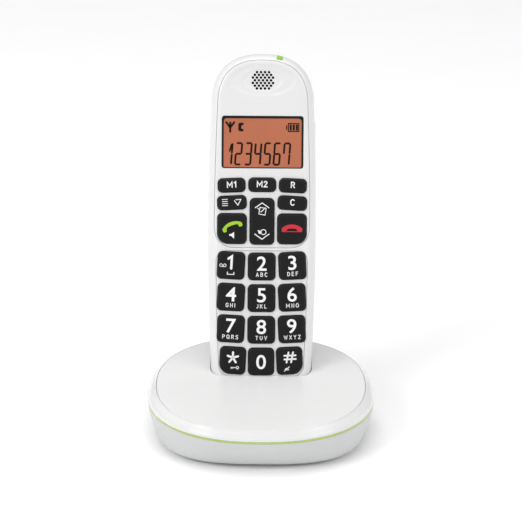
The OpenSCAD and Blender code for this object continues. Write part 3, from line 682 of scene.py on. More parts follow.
def number_key(name, col, row):
    last = row == 3
    r = [BIG_KEY_R if last and col == side else KEY_R for side in (-1, 1)]
    x = col * (COLUMN - (LAST_IN if last else 0))
    z = ROW_Z - ROW_PITCH * row + OUTER_RISE * abs(col)
    return Key(name, x, z, KEY_W - (LAST_LESS if last else 0), KEY_H, TILT * col, *r)


NUMBER_NAMES = ["key_" + c for c in "123456789"] + ["key_star", "key_0", "key_hash"]
KEYS = {name: number_key(name, i % 3 - 1, i // 3) for i, name in enumerate(NUMBER_NAMES)}
for col, name in ((-1, "key_m1"), (0, "key_m2"), (1, "key_r")):
    z = MEMORY_Z - 0.3 * abs(col)
    KEYS[name] = Key(name, col * COLUMN, z, SMALL_W, SMALL_H, -0.8 * TILT * col)
for side, name in ((-1, "key_menu"), (1, "key_c")):
    KEYS[name] = Key(name, side * (COLUMN - 0.2), MENU_Z, WIDE_W, SMALL_H, -TILT * side)
KEYS["key_talk"] = Key("key_talk", -CALL_X, CALL_Z, WIDE_W, CALL_H, r_left=BIG_KEY_R)
KEYS["key_end"] = Key("key_end", CALL_X, CALL_Z, WIDE_W, CALL_H, r_right=BIG_KEY_R)
KEYS["nav_rocker"] = Key("nav_rocker", 0, NAV_Z, 10.9, 21)

BIG, SMALL, LABEL = 6.6, 1.95, 3.0  # heights of the digits, small letters and labels
DIGIT_BOLD, DIGIT_WIDE = 0.012, 1.06
DIGIT_V, LETTER_V = 1.4, -3.7
THIN = 0.34                         # width of a pictogram's lines
SUBTEXT = {"2": "ABC", "3": "DEF", "4": "GHI", "5": "JKL", "6": "MNO",
           "7": "PQRS", "8": "TUV", "9": "WXYZ"}


def number_prints(out):
    """Digits with their letters. Under the 1 are a tape and a space mark."""
    for digit in "1234567890":
        if digit == "1":
            ends = (-4.6, -2.9)
            tape = [arc(u, -0.1, 0.62, 0, 345, 20) for u in ends] + [[(u, -0.72) for u in ends]]
            space = [(-1.5, -3.1), (-1.5, -4.1), (1.5, -4.1), (1.5, -3.1)]
            marks = [capitals(digit, -0.6, DIGIT_V, BIG, 1.05, 0), strokes(tape, 0.28),
                     strokes([space], 0.38)]
        else:
            v = -0.2 if digit == "0" else DIGIT_V
            marks = [printed_digit(digit, v, BIG, DIGIT_BOLD, DIGIT_WIDE)]
        if digit in SUBTEXT:
            marks.append(capitals(SUBTEXT[digit], 0, LETTER_V, SMALL, 0.3, 0.75))
        out["key_" + digit] = [(joined(marks), PRINT)]


def key_prints():
    """Prints of every key: body name to a list of (object, material)."""
    out = {}
    number_prints(out)
    spoke = capsule([(0, 0.3), (0, 2.5)], 0.95)
    star = [placed(spoke, 0, 1.3, 72 * k) for k in range(5)]
    lock = [arc(2.4, -3.2, 0.55, 180, 525, 16), [(1.8, -3.2), (-0.5, -3.2), (-0.5, -3.8)],
            [(0.3, -3.2), (0.3, -3.7)]]
    out["key_star"] = [(joined([fills(star), strokes(lock, THIN)]), PRINT)]
    posts = [[(-1.4 + s, -0.7), (-0.3 + s, 3.9)] for s in (0, 2.1)]
    bars = [[(-2.3, v), (2.9, v)] for v in (0.75, 2.45)]
    mute = [[(-2.6, -4.7), (-0.2, -2.7)], arc(-1.4, -4.1, 0.75, 0, 180, 10),
            [(-2.3, -4.1), (-0.5, -4.1)]]
    out["key_hash"] = [(joined([strokes(posts, 0.8), strokes(bars, 0.8), strokes(mute, THIN)]), PRINT)]
    for name, text in (("key_m1", "M1"), ("key_m2", "M2"), ("key_r", "R"), ("key_c", "C")):
        out[name] = [(capitals(text, 0, 0.35, LABEL, 0.5, 0.5), PRINT)]
    lines = [[(-4.4, v), (-2.0, v)] for v in (-1.2, -0.25, 0.7, 1.65)]
    arrow = [[(1.2, 0.9), (2.7, -1.25), (4.2, 1.35), (1.9, 1.35)]]
    out["key_menu"] = [(joined([strokes(lines, 0.3), strokes(arrow, 0.36)]), PRINT)]
    speaker = [(-1.2, -3.3), (-0.4, -3.3), (1.0, -4.6), (1.0, -1.5), (-0.4, -2.5), (-1.2, -2.5)]
    out["key_talk"] = [(fills([receiver(0, 1.3, 21, 1.75, 2.9)]), PRINT_GREEN),
                       (fills([speaker]), PRINT)]
    hook = rect(0, -1.2, 6.0, 0.4)
    out["key_end"] = [(fills([receiver(0, 0.3, 0, 1.5, 2.4), hook]), PRINT_RED)]
    page = placed(rect(0, 0, 2.9, 3.1), 0.2, 4.7, -10)
    book = [page + page[:1], [(-1.5, 5.6), (-2.1, 6.1)], [(-0.6, 4.3), (0.5, 5.2), (1.4, 6.3)]]
    dial = [arc(0.7, -4.9, 1.15, 0, 345, 18), [(-1.9, -4.3), (-0.9, -4.3)]]
    arrows = [[(-3.1, 6.3), (0, 8.5), (3.1, 6.3)], [(-3.3, -5.8), (0, -8.2), (3.3, -5.8)]]
    ball = arc(-0.9, -4.95, 0.8, 0, 345, 16)
    out["nav_rocker"] = [(joined([strokes(arrows, 0.42), strokes(book, THIN),
                                  strokes(dial, 0.36), fills([ball])]), PRINT)]
    return out


NAV_PIN_R, NAV_PIN_PAST = 0.75, 1.3     # the rocker's pin stands out at both sides
FLANGE_PAST, FLANGE_TOP = 0.55, -2.35   # a key's flange keeps it behind the face


def build_keys():
    prints = key_prints()
    for name, key in KEYS.items():
        cap = loft(name, key_rings(key.shape, KEY_BEVEL))
        w, h = key.shape["w"] / 2, key.shape["h"] / 2
        if name == "nav_rocker":
            end = w + NAV_PIN_PAST
            extra = moved(disc(NAV_PIN_R, -end, end, 0.15, axis="X"), at(0, 0, FACE_Y - NAV_PIN_Y))
        else:
            end = h + FLANGE_PAST
            extra = block("flange", (-w / 2, w / 2), (-end, end), (KEY_BACK, FLANGE_TOP))
        combined(cap, "UNION", [extra])
        finished(cap, name + "_cap", key.place(), name, KEY, [name])
        for k, (mark, colour) in enumerate(prints[name]):
            place = key.place(KEY_TOP)
            finished(mark, f"{name}_print{k}", place, name, colour, sharp=30)


# ---- handset front

EAR_Z = 147.7
EAR_ROWS = (4, 5, 6, 5, 6, 5, 4)
EAR_PITCH_X, EAR_PITCH_Z = 1.85, 1.24
# The second radius is that of the black disc that paints the shade in the earpiece holes.
EAR_HOLE_R, EAR_SHADE_R = 0.62, 6.2
DISH_EDGE = 0.16                    # share of a dish over which its edge slopes
DISHES = ((16.0, 7.6, 0.42), (9.4, 5.4, 0.34))      # half width, half height, depth
DISPLAY_Z, DISPLAY_W, DISPLAY_H = 119.3, 37.4, 23.9
LIGHT_X, LIGHT_HALF, LIGHT_TURN = 7.9, (1.2, 3.5, 1.7), math.radians(10)
CONTACT_X, CONTACT_Y = 8, -5        # the charging contacts in the bottom end
CONTACTS = [at(x, CONTACT_Y, 0) for x in (-CONTACT_X, CONTACT_X)]
CONTACT_HOLE_R, MIC_HOLE_R = 2.75, 0.6


def dish_depth(points):
    """How far the earpiece's oval dishes sink the face at each point."""
    depth = np.zeros(len(points))
    for a, b, deep in DISHES:
        r = np.hypot(points[:, 0] / a, (points[:, 1] - EAR_Z) / b)
        t = np.clip((1.0 - r) / DISH_EDGE, 0, 1)
        depth += deep * t * t * (3 - 2 * t)
    return depth


def recess_tool(outline):
    """Tool that cuts a panel's recess in the front cover, with a softened rim."""
    rings = []
    for out, height in soft_rim(FIT_GAP, PANEL_LIP, 1.0):
        ring = grown(outline, out)
        rings.append(xz_ring(ring, FACE_Y - height - face_height(ring)))
    rings.append(xz_ring(grown(outline, FIT_GAP), PANEL_BACK_Y))
    return loft("recess", rings)


def panel_solid(outline, z0, z1, dished=False):
    """Face panel with a soft rim. Its face closes in on the line from z0 to z1."""
    rings = [xz_ring(outline, PANEL_BACK_Y - 0.02)]
    for a in np.linspace(0, math.pi / 2, 5):
        ring = grown(outline, -PANEL_LIP * (1 - math.cos(a)))
        rings.append(xz_ring(ring, FACE_Y + PANEL_LIP * (1 - math.sin(a)) - face_height(ring)))
    edge = grown(outline, -PANEL_LIP)
    spine = np.stack([np.zeros(len(edge)), np.clip(edge[:, 1], z0, z1)], 1)
    for s in np.concatenate([[0.01, 0.025], np.linspace(0.05, 0.97, 34)]):
        ring = edge + (spine - edge) * s
        sink = dish_depth(ring) if dished else 0
        rings.append(xz_ring(ring, FACE_Y - face_height(ring) + sink))
    return loft("panel", rings)


def ear_tools():
    tools = []
    for row, count in enumerate(EAR_ROWS):
        for i in range(count):
            x = (i - (count - 1) / 2) * EAR_PITCH_X
            z = EAR_Z + (len(EAR_ROWS) // 2 - row) * EAR_PITCH_Z
            hole = turned("hole", [(EAR_HOLE_R, -4), (EAR_HOLE_R, 2)], steps=24)
            tools.append(moved(hole, face_place(x, z, 0)))
    return tools


def window_tool(grow):
    """Tool through the face for the display's frame, grown by a gap."""
    shape = {"w": DISPLAY_W, "h": DISPLAY_H, "r_left": 1.2, "r_right": 1.2, "r_top": 1.2}
    rings = key_rings(shape, [(grow, -4), (grow, 2)])
    return moved(loft("window", rings), face_place(0, DISPLAY_Z, 0))


def light_tool(gap):
    """Block that the light's window takes up in the top edge, grown by a gap."""
    tool = block("light", *[(-h - gap, h + gap) for h in LIGHT_HALF])
    return moved(tool, at(LIGHT_X, FACE_Y + 3, LENGTH - 1.1) @ Matrix.Rotation(LIGHT_TURN, 4, "Y"))


def build_front():
    cover = loft("front", level_rings(FRONT_PATH))
    cavity = loft("cavity", [xz_ring(grown(OUTLINE, -SHELL_WALL), y) for y in (WALL_BACK_Y, 1)])
    cut(cover, [cavity], [recess_tool(UPPER_PANEL), recess_tool(KEYPAD_PANEL)],
        [k.opening() for k in KEYS.values()] + [window_tool(-0.8)],
        ear_tools() + [light_tool(FIT_GAP)])
    contacts = [moved(disc(CONTACT_HOLE_R, -1, 5), place) for place in CONTACTS]
    cut(cover, contacts + [moved(disc(MIC_HOLE_R, -1, 5), at(0, CONTACT_Y, 0))])
    on_handset(cover, "front_shell", WHITE, ["handset_front_cover"])

    upper = panel_solid(UPPER_PANEL, 92, 136, dished=True)
    openings = [k.opening() for k in KEYS.values() if k.z > PANELS_MEET_Z]
    cut(upper, openings + [window_tool(FIT_GAP)], ear_tools() + [light_tool(FIT_GAP)])
    on_handset(upper, "upper_panel", PANEL, ["upper_face_panel"])
    # A black disc just under the panel's face, behind the earpiece holes, paints the shade at their
    # bottoms.
    hole_shade = moved(disc(EAR_SHADE_R, -1.35, -1.05, 0.05), face_place(0, EAR_Z, 0))
    on_handset(hole_shade, "ear_hole_shade_disc", EAR_HOLE_SHADE)
    keypad = panel_solid(KEYPAD_PANEL, 31, 50)
    cut(keypad, [k.opening() for k in KEYS.values() if k.z < PANELS_MEET_Z])
    on_handset(keypad, "keypad_panel", PANEL, ["keypad_face_panel"])

    lens = loft("lens", level_rings(FRONT_PATH, -0.03))
    combined(lens, "INTERSECT", [bevelled(light_tool(0), 0.25)])
    on_handset(lens, "indicator_lens", LAMP, ["indicator_light"])


# ---- display

SCREEN_W, SCREEN_H = 35.8, 22.5
SCREEN_V = -0.35                 # the screen sits a little low in its frame
FRAME_V, SCREEN_Y = -0.1, -0.30  # heights of the frame and screen above the face
BAR_W, BAR_GAP = 0.92, 0.40
DIGIT_W, DIGIT_H, DIGIT_PITCH, DIGIT_SLANT = 2.6, 9.8, 4.42, math.tan(math.radians(4))
FIRST_DIGIT_U, DIGITS_V = -15.4, -5.4
BARS = {"a": ((-1, 1), (1, 1)), "g": ((-1, 0), (1, 0)), "d": ((-1, -1), (1, -1)),
        "b": ((1, 1), (1, 0)), "c": ((1, 0), (1, -1)), "f": ((-1, 1), (-1, 0)),
        "e": ((-1, 0), (-1, -1))}
SEGMENTS = {"1": "bc", "2": "abged", "3": "abgcd", "4": "fgbc", "5": "afgcd",
            "6": "afgedc", "7": "fabc"}


def segment_ends(letter):
    """Ends of one bar of a seven-bar digit, drawn upright about its middle."""
    p, q = (np.array(end) * (DIGIT_W / 2, DIGIT_H / 2) for end in BARS[letter])
    gap = BAR_GAP * (q - p) / np.linalg.norm(q - p)
    return p + gap, q - gap


def bar_shape(ends, width):
    """Bar with pointed ends."""
    p, q = np.array(ends, float)
    tip = (q - p) / np.linalg.norm(q - p) * width / 2
    side = np.array([-tip[1], tip[0]])
    return [p - tip, p - side, q - side, q + tip, q + side, p + side]


# Telephone receiver on end, as the display draws it
HANDLE = [(-0.7, 2), (1.1, 2), (1.1, 0.9), (0.3, 0.8), (0.1, 0.4), (0.1, -0.4), (0.3, -0.8),
          (1.1, -0.9), (1.1, -2), (-0.7, -2), (-1.3, -1.3), (-1.3, 1.3)]


def display_figures():
    """Row of digits, with an aerial, a receiver and a battery above it."""
    marks = []
    for i, digit in enumerate("1234567"):
        shapes = [bar_shape(segment_ends(letter), BAR_W) for letter in SEGMENTS[digit]]
        if digit == "1":
            shapes.append(bar_shape(((0.2, 1.2), (0.95, 4.4)), 0.8))
        left = FIRST_DIGIT_U + DIGIT_PITCH * i
        for shape in shapes:
            marks.append([(u + v * DIGIT_SLANT + left, v + DIGITS_V) for u, v in shape])
    aerial = [[(-14.9, 4.7), (-14.9, 6.6)], [(-16.7, 9.0), (-14.9, 6.6), (-13.1, 9.0)],
              [(-14.9, 6.7), (-14.9, 8.9)]]
    corners = [(11.8, 5.0), (11.8, 8.6), (16.6, 8.6), (16.6, 5.0)]
    battery = [[(11.0, 6.0), (11.0, 7.6)], corners + corners[:1]]
    cells = [rect(12.9 + 1.4 * k, 6.8, 1.0, 2.7) for k in range(3)]
    return joined([slab(marks, MARK_LOW, MARK_HIGH), strokes(aerial, 0.95), strokes(battery, 0.5),
                   fills(cells), fills([placed(HANDLE, -9.9, 6.9)])])


def build_display():
    outer = {"w": DISPLAY_W, "h": DISPLAY_H, "r_left": 1, "r_right": 1, "r_top": 1}
    edge = [(0, -1.38), (0, FRAME_V - 0.2), (-0.06, FRAME_V - 0.06), (-0.2, FRAME_V)]
    border = loft("border", key_rings(outer, edge))
    inner = {"w": SCREEN_W, "h": SCREEN_H, "r_left": 0.8, "r_right": 0.8, "r_top": 1.4}
    well = loft("well", key_rings(inner, [(0.12, 1), (0.12, FRAME_V), (0, -0.34), (0, -2)]))
    cut(border, [moved(well, at(0, SCREEN_V, 0))])
    place = HANDSET @ face_place(0, DISPLAY_Z, 0)
    finished(border, "display_border", place, "handset", BLACK, ["display_lens"])
    rows = [(0, -4.7), (0, SCREEN_Y), (-0.4, SCREEN_Y), (-2, SCREEN_Y)]
    screen = moved(loft("screen", key_rings(inner, rows)), at(0, SCREEN_V, 0))
    finished(screen, "display_screen", place, "handset", AMBER, ["lcd_module"])
    place = HANDSET @ face_place(0, DISPLAY_Z, 0, SCREEN_Y)
    finished(display_figures(), "display_figures", place, "handset", INK, sharp=30)


# ---- handset back

SCREW_X, SCREW_Z = 14.5, 140
RINGER_Z = 108
BAY_W, BAY_Z, BAY_L = 22, 31.5, 47.4
DOOR_W, DOOR_Z, DOOR_TOP = 32, 27.5, 88
DOOR_AXIS_Y, DOOR_R = 11.35, 1.5
DOOR_HINGE = at(0, DOOR_AXIS_Y, DOOR_Z)
DOOR_GRIPS, GRIP_HALF = 4, 6.6
VOLUME_Z, VOLUME_Y, VOLUME_L, VOLUME_W = 120, 3.3, 19.4, 4.5
VOLUME_PIN_X = 22.6
VOLUME_PIN = at(VOLUME_PIN_X, VOLUME_Y, VOLUME_Z)
MOVING_GAP = 0.25
PIN_R, PIN_HOLE_R = 0.8, 0.85
SHANK_R = 1.1
AXIS_TO_Y = Matrix.Rotation(math.pi / 2, 4, "X")    # turns a slab's height to -Y
RINGER_SLOTS, SLOT_PITCH = 7, 2.2
CELL_R, CELL_X, CELL_Y, CELL_Z = 5.2, 5.4, 5.8, BAY_Z + 2.2


def screw_places(y=0):
    return [at(x, y, SCREW_Z) for x in (-SCREW_X, SCREW_X)]


def ringer_slots():
    """Tools that cut the ringer's upright slots, which are longest in the middle."""
    slots = []
    for i in range(-(RINGER_SLOTS // 2), RINGER_SLOTS // 2 + 1):
        half = (12 - 0.4 * i * i) / 2 - 0.5
        outline = capsule([(i * SLOT_PITCH, -half), (i * SLOT_PITCH, half)], 1.0)
        slots.append(moved(slab([outline], -16, -8), at(0, 0, RINGER_Z) @ AXIS_TO_Y))
    return slots


def build_back():
    cover = loft("rear", level_rings(BACK_PATH))
    cavity = loft("cavity", [xz_ring(grown(OUTLINE, -SHELL_WALL), y) for y in (-1, 11)])
    bay_walls = block("bay", span(0, BAY_W / 2 + 1.2), (-2, 14), (BAY_Z - 1.5, BAY_Z + BAY_L + 1.5))
    door_frame = block("seat", span(0, DOOR_W / 2 + 2.6), (8.8, 14), (DOOR_Z - 3, DOOR_TOP + 2))
    bosses = [moved(disc(3.6, -2, 14, axis="Y"), place) for place in screw_places()]
    cut(cavity, [bay_walls], [door_frame], bosses)

    g, half = MOVING_GAP, DOOR_W / 2
    bay = block("bay", span(0, BAY_W / 2), (0.5, 20), (BAY_Z, BAY_Z + BAY_L))
    seat = block("seat", span(0, half + g), (11.25, 20), (DOOR_Z - DOOR_R - 0.3, DOOR_TOP + g))
    knuckle = moved(disc(DOOR_R + 0.3, -half - g, half + g, axis="X"), DOOR_HINGE)
    door_pin = moved(disc(PIN_HOLE_R, -half - 1.8, half + 1.8, axis="X"), DOOR_HINGE)
    rocker = block("slot", (VOLUME_PIN_X - 5, 30), span(VOLUME_Y, VOLUME_W / 2 + g),
                   span(VOLUME_Z, VOLUME_L / 2 + g))
    rocker_pin = moved(disc(PIN_HOLE_R, -3.45, 3.45, axis="Y"), VOLUME_PIN)
    profile = [(1.4, -1), (1.4, 8), (2.5, 8.001), (2.5, 12.75), (2.85, 13.02), (2.85, 20)]
    wells = [moved(turned("well", profile, axis="Y"), place) for place in screw_places()]
    cut(cover, [cavity], [bay], [seat], [knuckle], [door_pin], [rocker], [rocker_pin],
        wells + ringer_slots())
    on_handset(cover, "rear_shell", WHITE, ["handset_rear_cover"])


def build_door():
    half = DOOR_W / 2
    lid = bevelled(block("door", span(0, half), (11.4, 12.95), (DOOR_Z, DOOR_TOP)), 0.35, 4, 60)
    grips = []
    for i in range(DOOR_GRIPS):
        v = DOOR_TOP - 6 - 2 * i
        outline = capsule([(-GRIP_HALF, v), (GRIP_HALF, v)], 0.8)
        grips.append(moved(slab([outline], -13.5, -12.55), AXIS_TO_Y))
    cut(lid, grips)
    knuckle = moved(disc(DOOR_R, -half, half, 0.2, axis="X"), DOOR_HINGE)
    pin = moved(disc(PIN_R, -half - 1.6, half + 1.6, 0.15, axis="X"), DOOR_HINGE)
    combined(lid, "UNION", [knuckle], [pin])
    on_handset(lid, "battery_lid", WHITE, ["battery_door"], "battery_door")


def build_rocker():
    """Volume key: a long rounded bar that bulges a little from the side."""
    outer = half_width(VOLUME_Z) + 0.5
    arch = 0.35                     # how far the bar's ends bend back into the side
    rings = []
    for g, x in ((0, VOLUME_PIN_X - 0.9), (0, outer - 0.75), (-0.1, outer - 0.45), (-0.35, outer - 0.2),
                 (-0.8, outer - 0.05), (-1.2, outer)):
        bend = arch if x > VOLUME_PIN_X else 0
        ring = key_outline(VOLUME_W, VOLUME_L, 1.6, 1.6, g, 1.6)
        rings.append([(x - bend * (v / (VOLUME_L / 2)) ** 2, u + VOLUME_Y, v + VOLUME_Z)
                      for u, v in ring])
    bar = loft("rocker", rings)
    combined(bar, "UNION", [moved(disc(PIN_R, -3.15, 3.15, 0.1, axis="Y"), VOLUME_PIN)])
    on_handset(bar, "volume_bar", WHITE, ["volume_rocker"], "volume_rocker")


def screw_head(r, depth, flat):
    """Screw head with a cross slot, which looks along +Z."""
    head = turned("head", [(r, -depth), (r, -0.35), (r - 0.12, -0.12), (r - 0.4, 0), (0.3, 0.0)])
    long, short = span(0, r * 0.62), span(0, 0.32)
    return cut(head, [block("arm", long, short, (-flat, 1))], [block("arm", short, long, (-flat, 1))])


def build_handset_parts():
    screws = []
    for face, hole in zip(screw_places(9.6), screw_places()):
        screws.append(moved(screw_head(2.2, 1.6, 0.9), face @ Matrix.Rotation(-math.pi / 2, 4, "X")))
        screws.append(moved(disc(SHANK_R, -6.5, 8.1, axis="Y"), hole))
    on_handset(joined(screws), "rear_screws", STEEL, ["handset_screws"])
    plates = [moved(disc(2.6, 0.35, 3.75, 0.2), place) for place in CONTACTS]
    on_handset(joined(plates), "charge_discs", GOLD, ["charge_plates"])
    cells, tips = [], []
    rows = [(4.4, 0), (4.9, 0.15), (CELL_R, 0.5), (CELL_R, 1.2), (5.12, 1.6), (CELL_R, 2.0),
            (CELL_R, 41.6), (5.12, 42.0), (CELL_R, 42.4), (CELL_R, 42.9), (4.9, 43.25), (4.4, 43.4)]
    for side in (-1, 1):            # the cells lie head to tail
        cells.append(moved(turned("cell", rows), at(side * CELL_X, CELL_Y, CELL_Z)))
        tip_z = CELL_Z + (43.79 if side < 0 else -0.39)
        tips.append(moved(disc(1.9, -0.4, 0.4, 0.15), at(side * CELL_X, CELL_Y, tip_z)))
    on_handset(joined(cells), "cell_jackets", CELL, ["batteries"])
    on_handset(joined(tips), "cell_tips", STEEL)


# ---- base

BASE_W, BASE_D = 103.6, 100.8
BASE_RING = 256            # points round the base's rings
OVAL_N, BAND_Z, BAND_H, RISE, SLOPE = 2.25, 16, 1.2, 5.4, math.radians(2.7)
COVER_Z = BAND_Z + BAND_H
PLATE_Z = COVER_Z + RISE
SEAM = 3.8
POCKET_GAP = 0.5
MOUTH_GAP = 0.3            # the smooth form needs less room than the CAD's facets
TUB_WALL = 1.4
TO_BASE = BASE.inverted() @ HANDSET
BARREL_R, PIN_TIP_R = 2, 1.2
FEET = [at(x, y, 0) for x in (-25, 25) for y in (-31, 31)]
SCREWS = [(x, y) for x in (-37, 37) for y in (-20, 7)]
SCREW_AXES = [at(x, y, 0) for x, y in SCREWS]
SOCKET_X, SOCKET_MOUTH, SOCKET_DEEP = 32.6, 31.5, 12
PAGE_Y, PAGE_KEY_Z = BASE_D / 2 - 1.1, 11


def oval(inset, n=OVAL_N, less=0.0):
    """Superellipse of the base inside its edge by an inset, and less deep by less."""
    t = np.linspace(0, 2 * math.pi, BASE_RING, endpoint=False)
    c, s = np.cos(t), np.sin(t)
    return np.stack([(BASE_W / 2 - inset) * np.sign(c) * np.abs(c) ** (2 / n),
                     (BASE_D / 2 - inset - less) * np.sign(s) * np.abs(s) ** (2 / n)], 1)


def level_ring(inset, z, n=OVAL_N, less=0.0):
    return [(x, y, z) for x, y in oval(inset, n, less)]


def sloped_ring(inset, z, tilt=1.0):
    """Ring of the top form: z is its height at the base's middle."""
    c, s, h = math.cos(SLOPE * tilt), math.sin(SLOPE * tilt), z - PLATE_Z
    return [(x, y * c - h * s, PLATE_Z + y * s + h * c) for x, y in oval(inset)]


def crown(inset):
    """Height of the top plate above its plane at an inset from the base's edge."""
    return float(np.interp(inset, [SEAM, 9, 17, 27], [0, 0.3, 0.5, 0.6]))


def pocket_form(grow):
    """The handset's form where it is docked, grown by a gap or a wall."""
    return moved(loft("pocket", level_rings(FULL_PATH, grow)), TO_BASE)


def build_rim():
    rows = smooth_path([(0.02, COVER_Z, 0), (0.35, 18.4, 0), (1.3, PLATE_Z - 0.45 * RISE, 1),
                        (2.6, PLATE_Z - 1.1, 1), (SEAM - 0.22, PLATE_Z - 0.08, 1)], 5)
    ledge = PLATE_Z - 1.85
    rings = [sloped_ring(*row) for row in rows]
    rings += [sloped_ring(SEAM - 0.06, PLATE_Z - 0.12), sloped_ring(SEAM, PLATE_Z - 0.30),
              sloped_ring(SEAM, ledge), sloped_ring(SEAM + 2, ledge), level_ring(SEAM + 2, COVER_Z)]
    cover = loft("cover", rings, loop=True)
    cut(cover, [pocket_form(POCKET_GAP + TUB_WALL + FIT_GAP)])
    on_base(cover, "base_rim", GLOSS, ["base_upper_cover"])


def build_plate():
    edge = SEAM + 0.15
    insets = [edge + 0.26, edge + 0.6, edge + 1.2] + list(np.linspace(edge + 2.4, 38, 22))
    rings = [sloped_ring(edge, PLATE_Z - 1.8), sloped_ring(edge, PLATE_Z - 0.28),
             sloped_ring(edge + 0.07, PLATE_Z - 0.10)]
    rings += [sloped_ring(i, PLATE_Z + crown(i)) for i in insets]
    plate = loft("plate", rings)
    tub = pocket_form(POCKET_GAP + TUB_WALL)
    combined(tub, "INTERSECT", [block("slice", span(0, 60), span(0, 60), (3, 22.3))])
    combined(plate, "UNION", [tub])
    bores = [moved(disc(BARREL_R + 0.02, -8, 1), TO_BASE @ place) for place in CONTACTS]
    cut(plate, [pocket_form(MOUTH_GAP)], bores)
    posts = [moved(disc(3, 9.05, PLATE_Z - 1.3 + y * math.tan(SLOPE), 0.2), at(x, y, 0))
             for x, y in SCREWS]
    combined(plate, "UNION", posts)
    on_base(plate, "base_plate", PLATE, ["base_top_plate"])


def build_base_sides():
    rows = [(4, 0), (0.25, 0), (0.12, 0.1), (0.08, 0.6), (0.12, 1.1), (0.25, BAND_H), (4, BAND_H)]
    band = loft("band", [level_ring(inset, BAND_Z + up) for inset, up in rows], loop=True)
    on_base(band, "base_band", GREEN, ["base_green_band"])

    path = smooth_path([(7.6, 1.0, 2.9), (6.0, 1.6, 2.9), (4.2, 3.2, 2.75), (2.5, 6.5, 2.5),
                        (0.9, 11, 2.32), (0.05, 15.85, OVAL_N), (0.16, BAND_Z, OVAL_N)], 4)
    casing = loft("casing", [level_ring(i, z, n, 3.5 * (1 - (z - 1) / 15) ** 2) for i, z, n in path])
    floor_z, step = 2.8, 4.4
    rings = [level_ring(8.4, z, 2.9, 2.6) for z in (floor_z, floor_z + step)]
    rings += [level_ring(4.4, z, 2.4, 0.8) for z in (floor_z + step + 0.1, 20)]
    hollow = loft("hollow", rings)
    sides = (-SOCKET_X, SOCKET_X)
    bay_walls = [block("bay", span(x, 7), (SOCKET_MOUTH - 1.4, 90), (0, 30)) for x in sides]
    cut(hollow, bay_walls, [moved(disc(3.4, 0, 9), place) for place in SCREW_AXES])
    inner = SOCKET_MOUTH - SOCKET_DEEP - FIT_GAP
    bays = [block("bay", span(x, 5.95), (inner, 90), (3.25, 14.15)) for x in sides]
    feet = [moved(disc(4.6, -1, 1.8), place) for place in FEET]
    profile = [(2.9, -1), (2.9, 4), (1.5, 4.001), (1.5, 30)]
    wells = [moved(turned("well", profile), place) for place in SCREW_AXES]
    button = block("button", span(0, 5.25), span(PAGE_Y, 10), span(PAGE_KEY_Z, 2.35))
    cut(casing, [hollow], bays + feet + wells + [button])
    on_base(casing, "base_casing", CASING, ["base_lower_casing"])


def build_feet_and_screws():
    profile = [(3.6, 0.0), (4.2, 0.12), (4.5, 0.5), (4.5, 1.8)]
    feet = [moved(turned("foot", profile), place) for place in FEET]
    on_base(joined(feet), "feet", RUBBER, ["rubber_feet"])
    screws = []
    for place in SCREW_AXES:
        face = place @ at(0, 0, 2.2) @ Matrix.Rotation(math.pi, 4, "X")
        screws += [moved(screw_head(2.6, 1.8, 0.9), face), moved(disc(SHANK_R, 3.9, 16), place)]
    on_base(joined(screws), "base_screw_set", STEEL, ["base_screws"])


WIRE_R, WIRE_PITCH = 0.22, 1.25


def build_socket(name, x, mouth_half, wire_count):
    y = SOCKET_MOUTH - SOCKET_DEEP
    box = bevelled(block("socket", span(x, 5.8), (y, SOCKET_MOUTH), (3.4, 14)), 0.25, 2)
    mouth = block("mouth", span(x, mouth_half), (y + 1.5, y + 24), (5.1, 12.3))
    notch = block("notch", span(x, 1.8), (y + 1.5, y + 24), (4.4, 6))
    cut(box, [mouth], [notch])
    on_base(box, name + "_housing", BLACK, [name])
    wires = []
    for k in range(wire_count):
        u = x + (k - (wire_count - 1) / 2) * WIRE_PITCH
        path = [(u, y + 1.7, 11.9), (u, y + 10, 11.9), (u, y + 10.6, 11.6), (u, y + 3.5, 8.2)]
        wires.append(wire(path, WIRE_R))
    on_base(joined(wires), name + "_wires", GOLD)


def build_page_key():
    back, height = PAGE_Y + 0.5, span(PAGE_KEY_Z, 2.1)
    body = bevelled(block("button", span(0, 5), (back - 5, back), height), 0.5, 4)
    flange = block("flange", span(0, 6), (back - 6.4, back - 5), height)
    dots = [moved(disc(0.45, back - 0.1, back + 0.15, 0.1, axis="Y"), at(x, 0, PAGE_KEY_Z))
            for x in (-1.6, 0, 1.6)]
    combined(body, "UNION", [flange], dots)
    on_base(body, "page_key", CASING, ["page_button"], "page_button")


def build_contacts():
    tip = [(PIN_TIP_R * math.cos(a), -0.9 + PIN_TIP_R * math.sin(a)) for a in np.linspace(0, 1.5, 8)]
    barrels = []
    for name, place in zip(("charge_pin_left", "charge_pin_right"), CONTACTS):
        pin = moved(turned("pin", [(1.1, -3.7), (PIN_TIP_R, -3.6)] + tip), place)
        on_handset(pin, name + "_tip", GOLD, [name], name)
        tube = disc(BARREL_R, -5.5, -0.9, 0.15)
        cut(tube, [disc(PIN_TIP_R + 0.05, -4.7, 2)])
        barrels.append(moved(tube, place))
    on_handset(joined(barrels), "contact_barrels", STEEL, ["charge_barrels"], "base")


def wire(points, r, sides=8):
    """Thin round wire along points."""
    rings = []
    p = np.array(points, float)
    for i in range(len(p)):
        t = p[min(i + 1, len(p) - 1)] - p[max(i - 1, 0)]
        t /= np.linalg.norm(t)
        a = np.cross(t, (1, 0, 0))
        a /= np.linalg.norm(a)
        b = np.cross(t, a)
        rings.append([tuple(p[i] + r * (math.cos(k) * a + math.sin(k) * b))
                      for k in np.linspace(0, 2 * math.pi, sides, endpoint=False)])
    return loft("wire", rings)


# ---- carried nodes

CARRIED = {"base_pcb": BOARD, "main_pcb": BOARD, "base_antennas": GOLD, "earpiece_speaker": BLACK,
           "ringer_speaker": BLACK, "microphone": STEEL, "keypad_mat": SILICONE,
           "battery_contacts": STEEL}


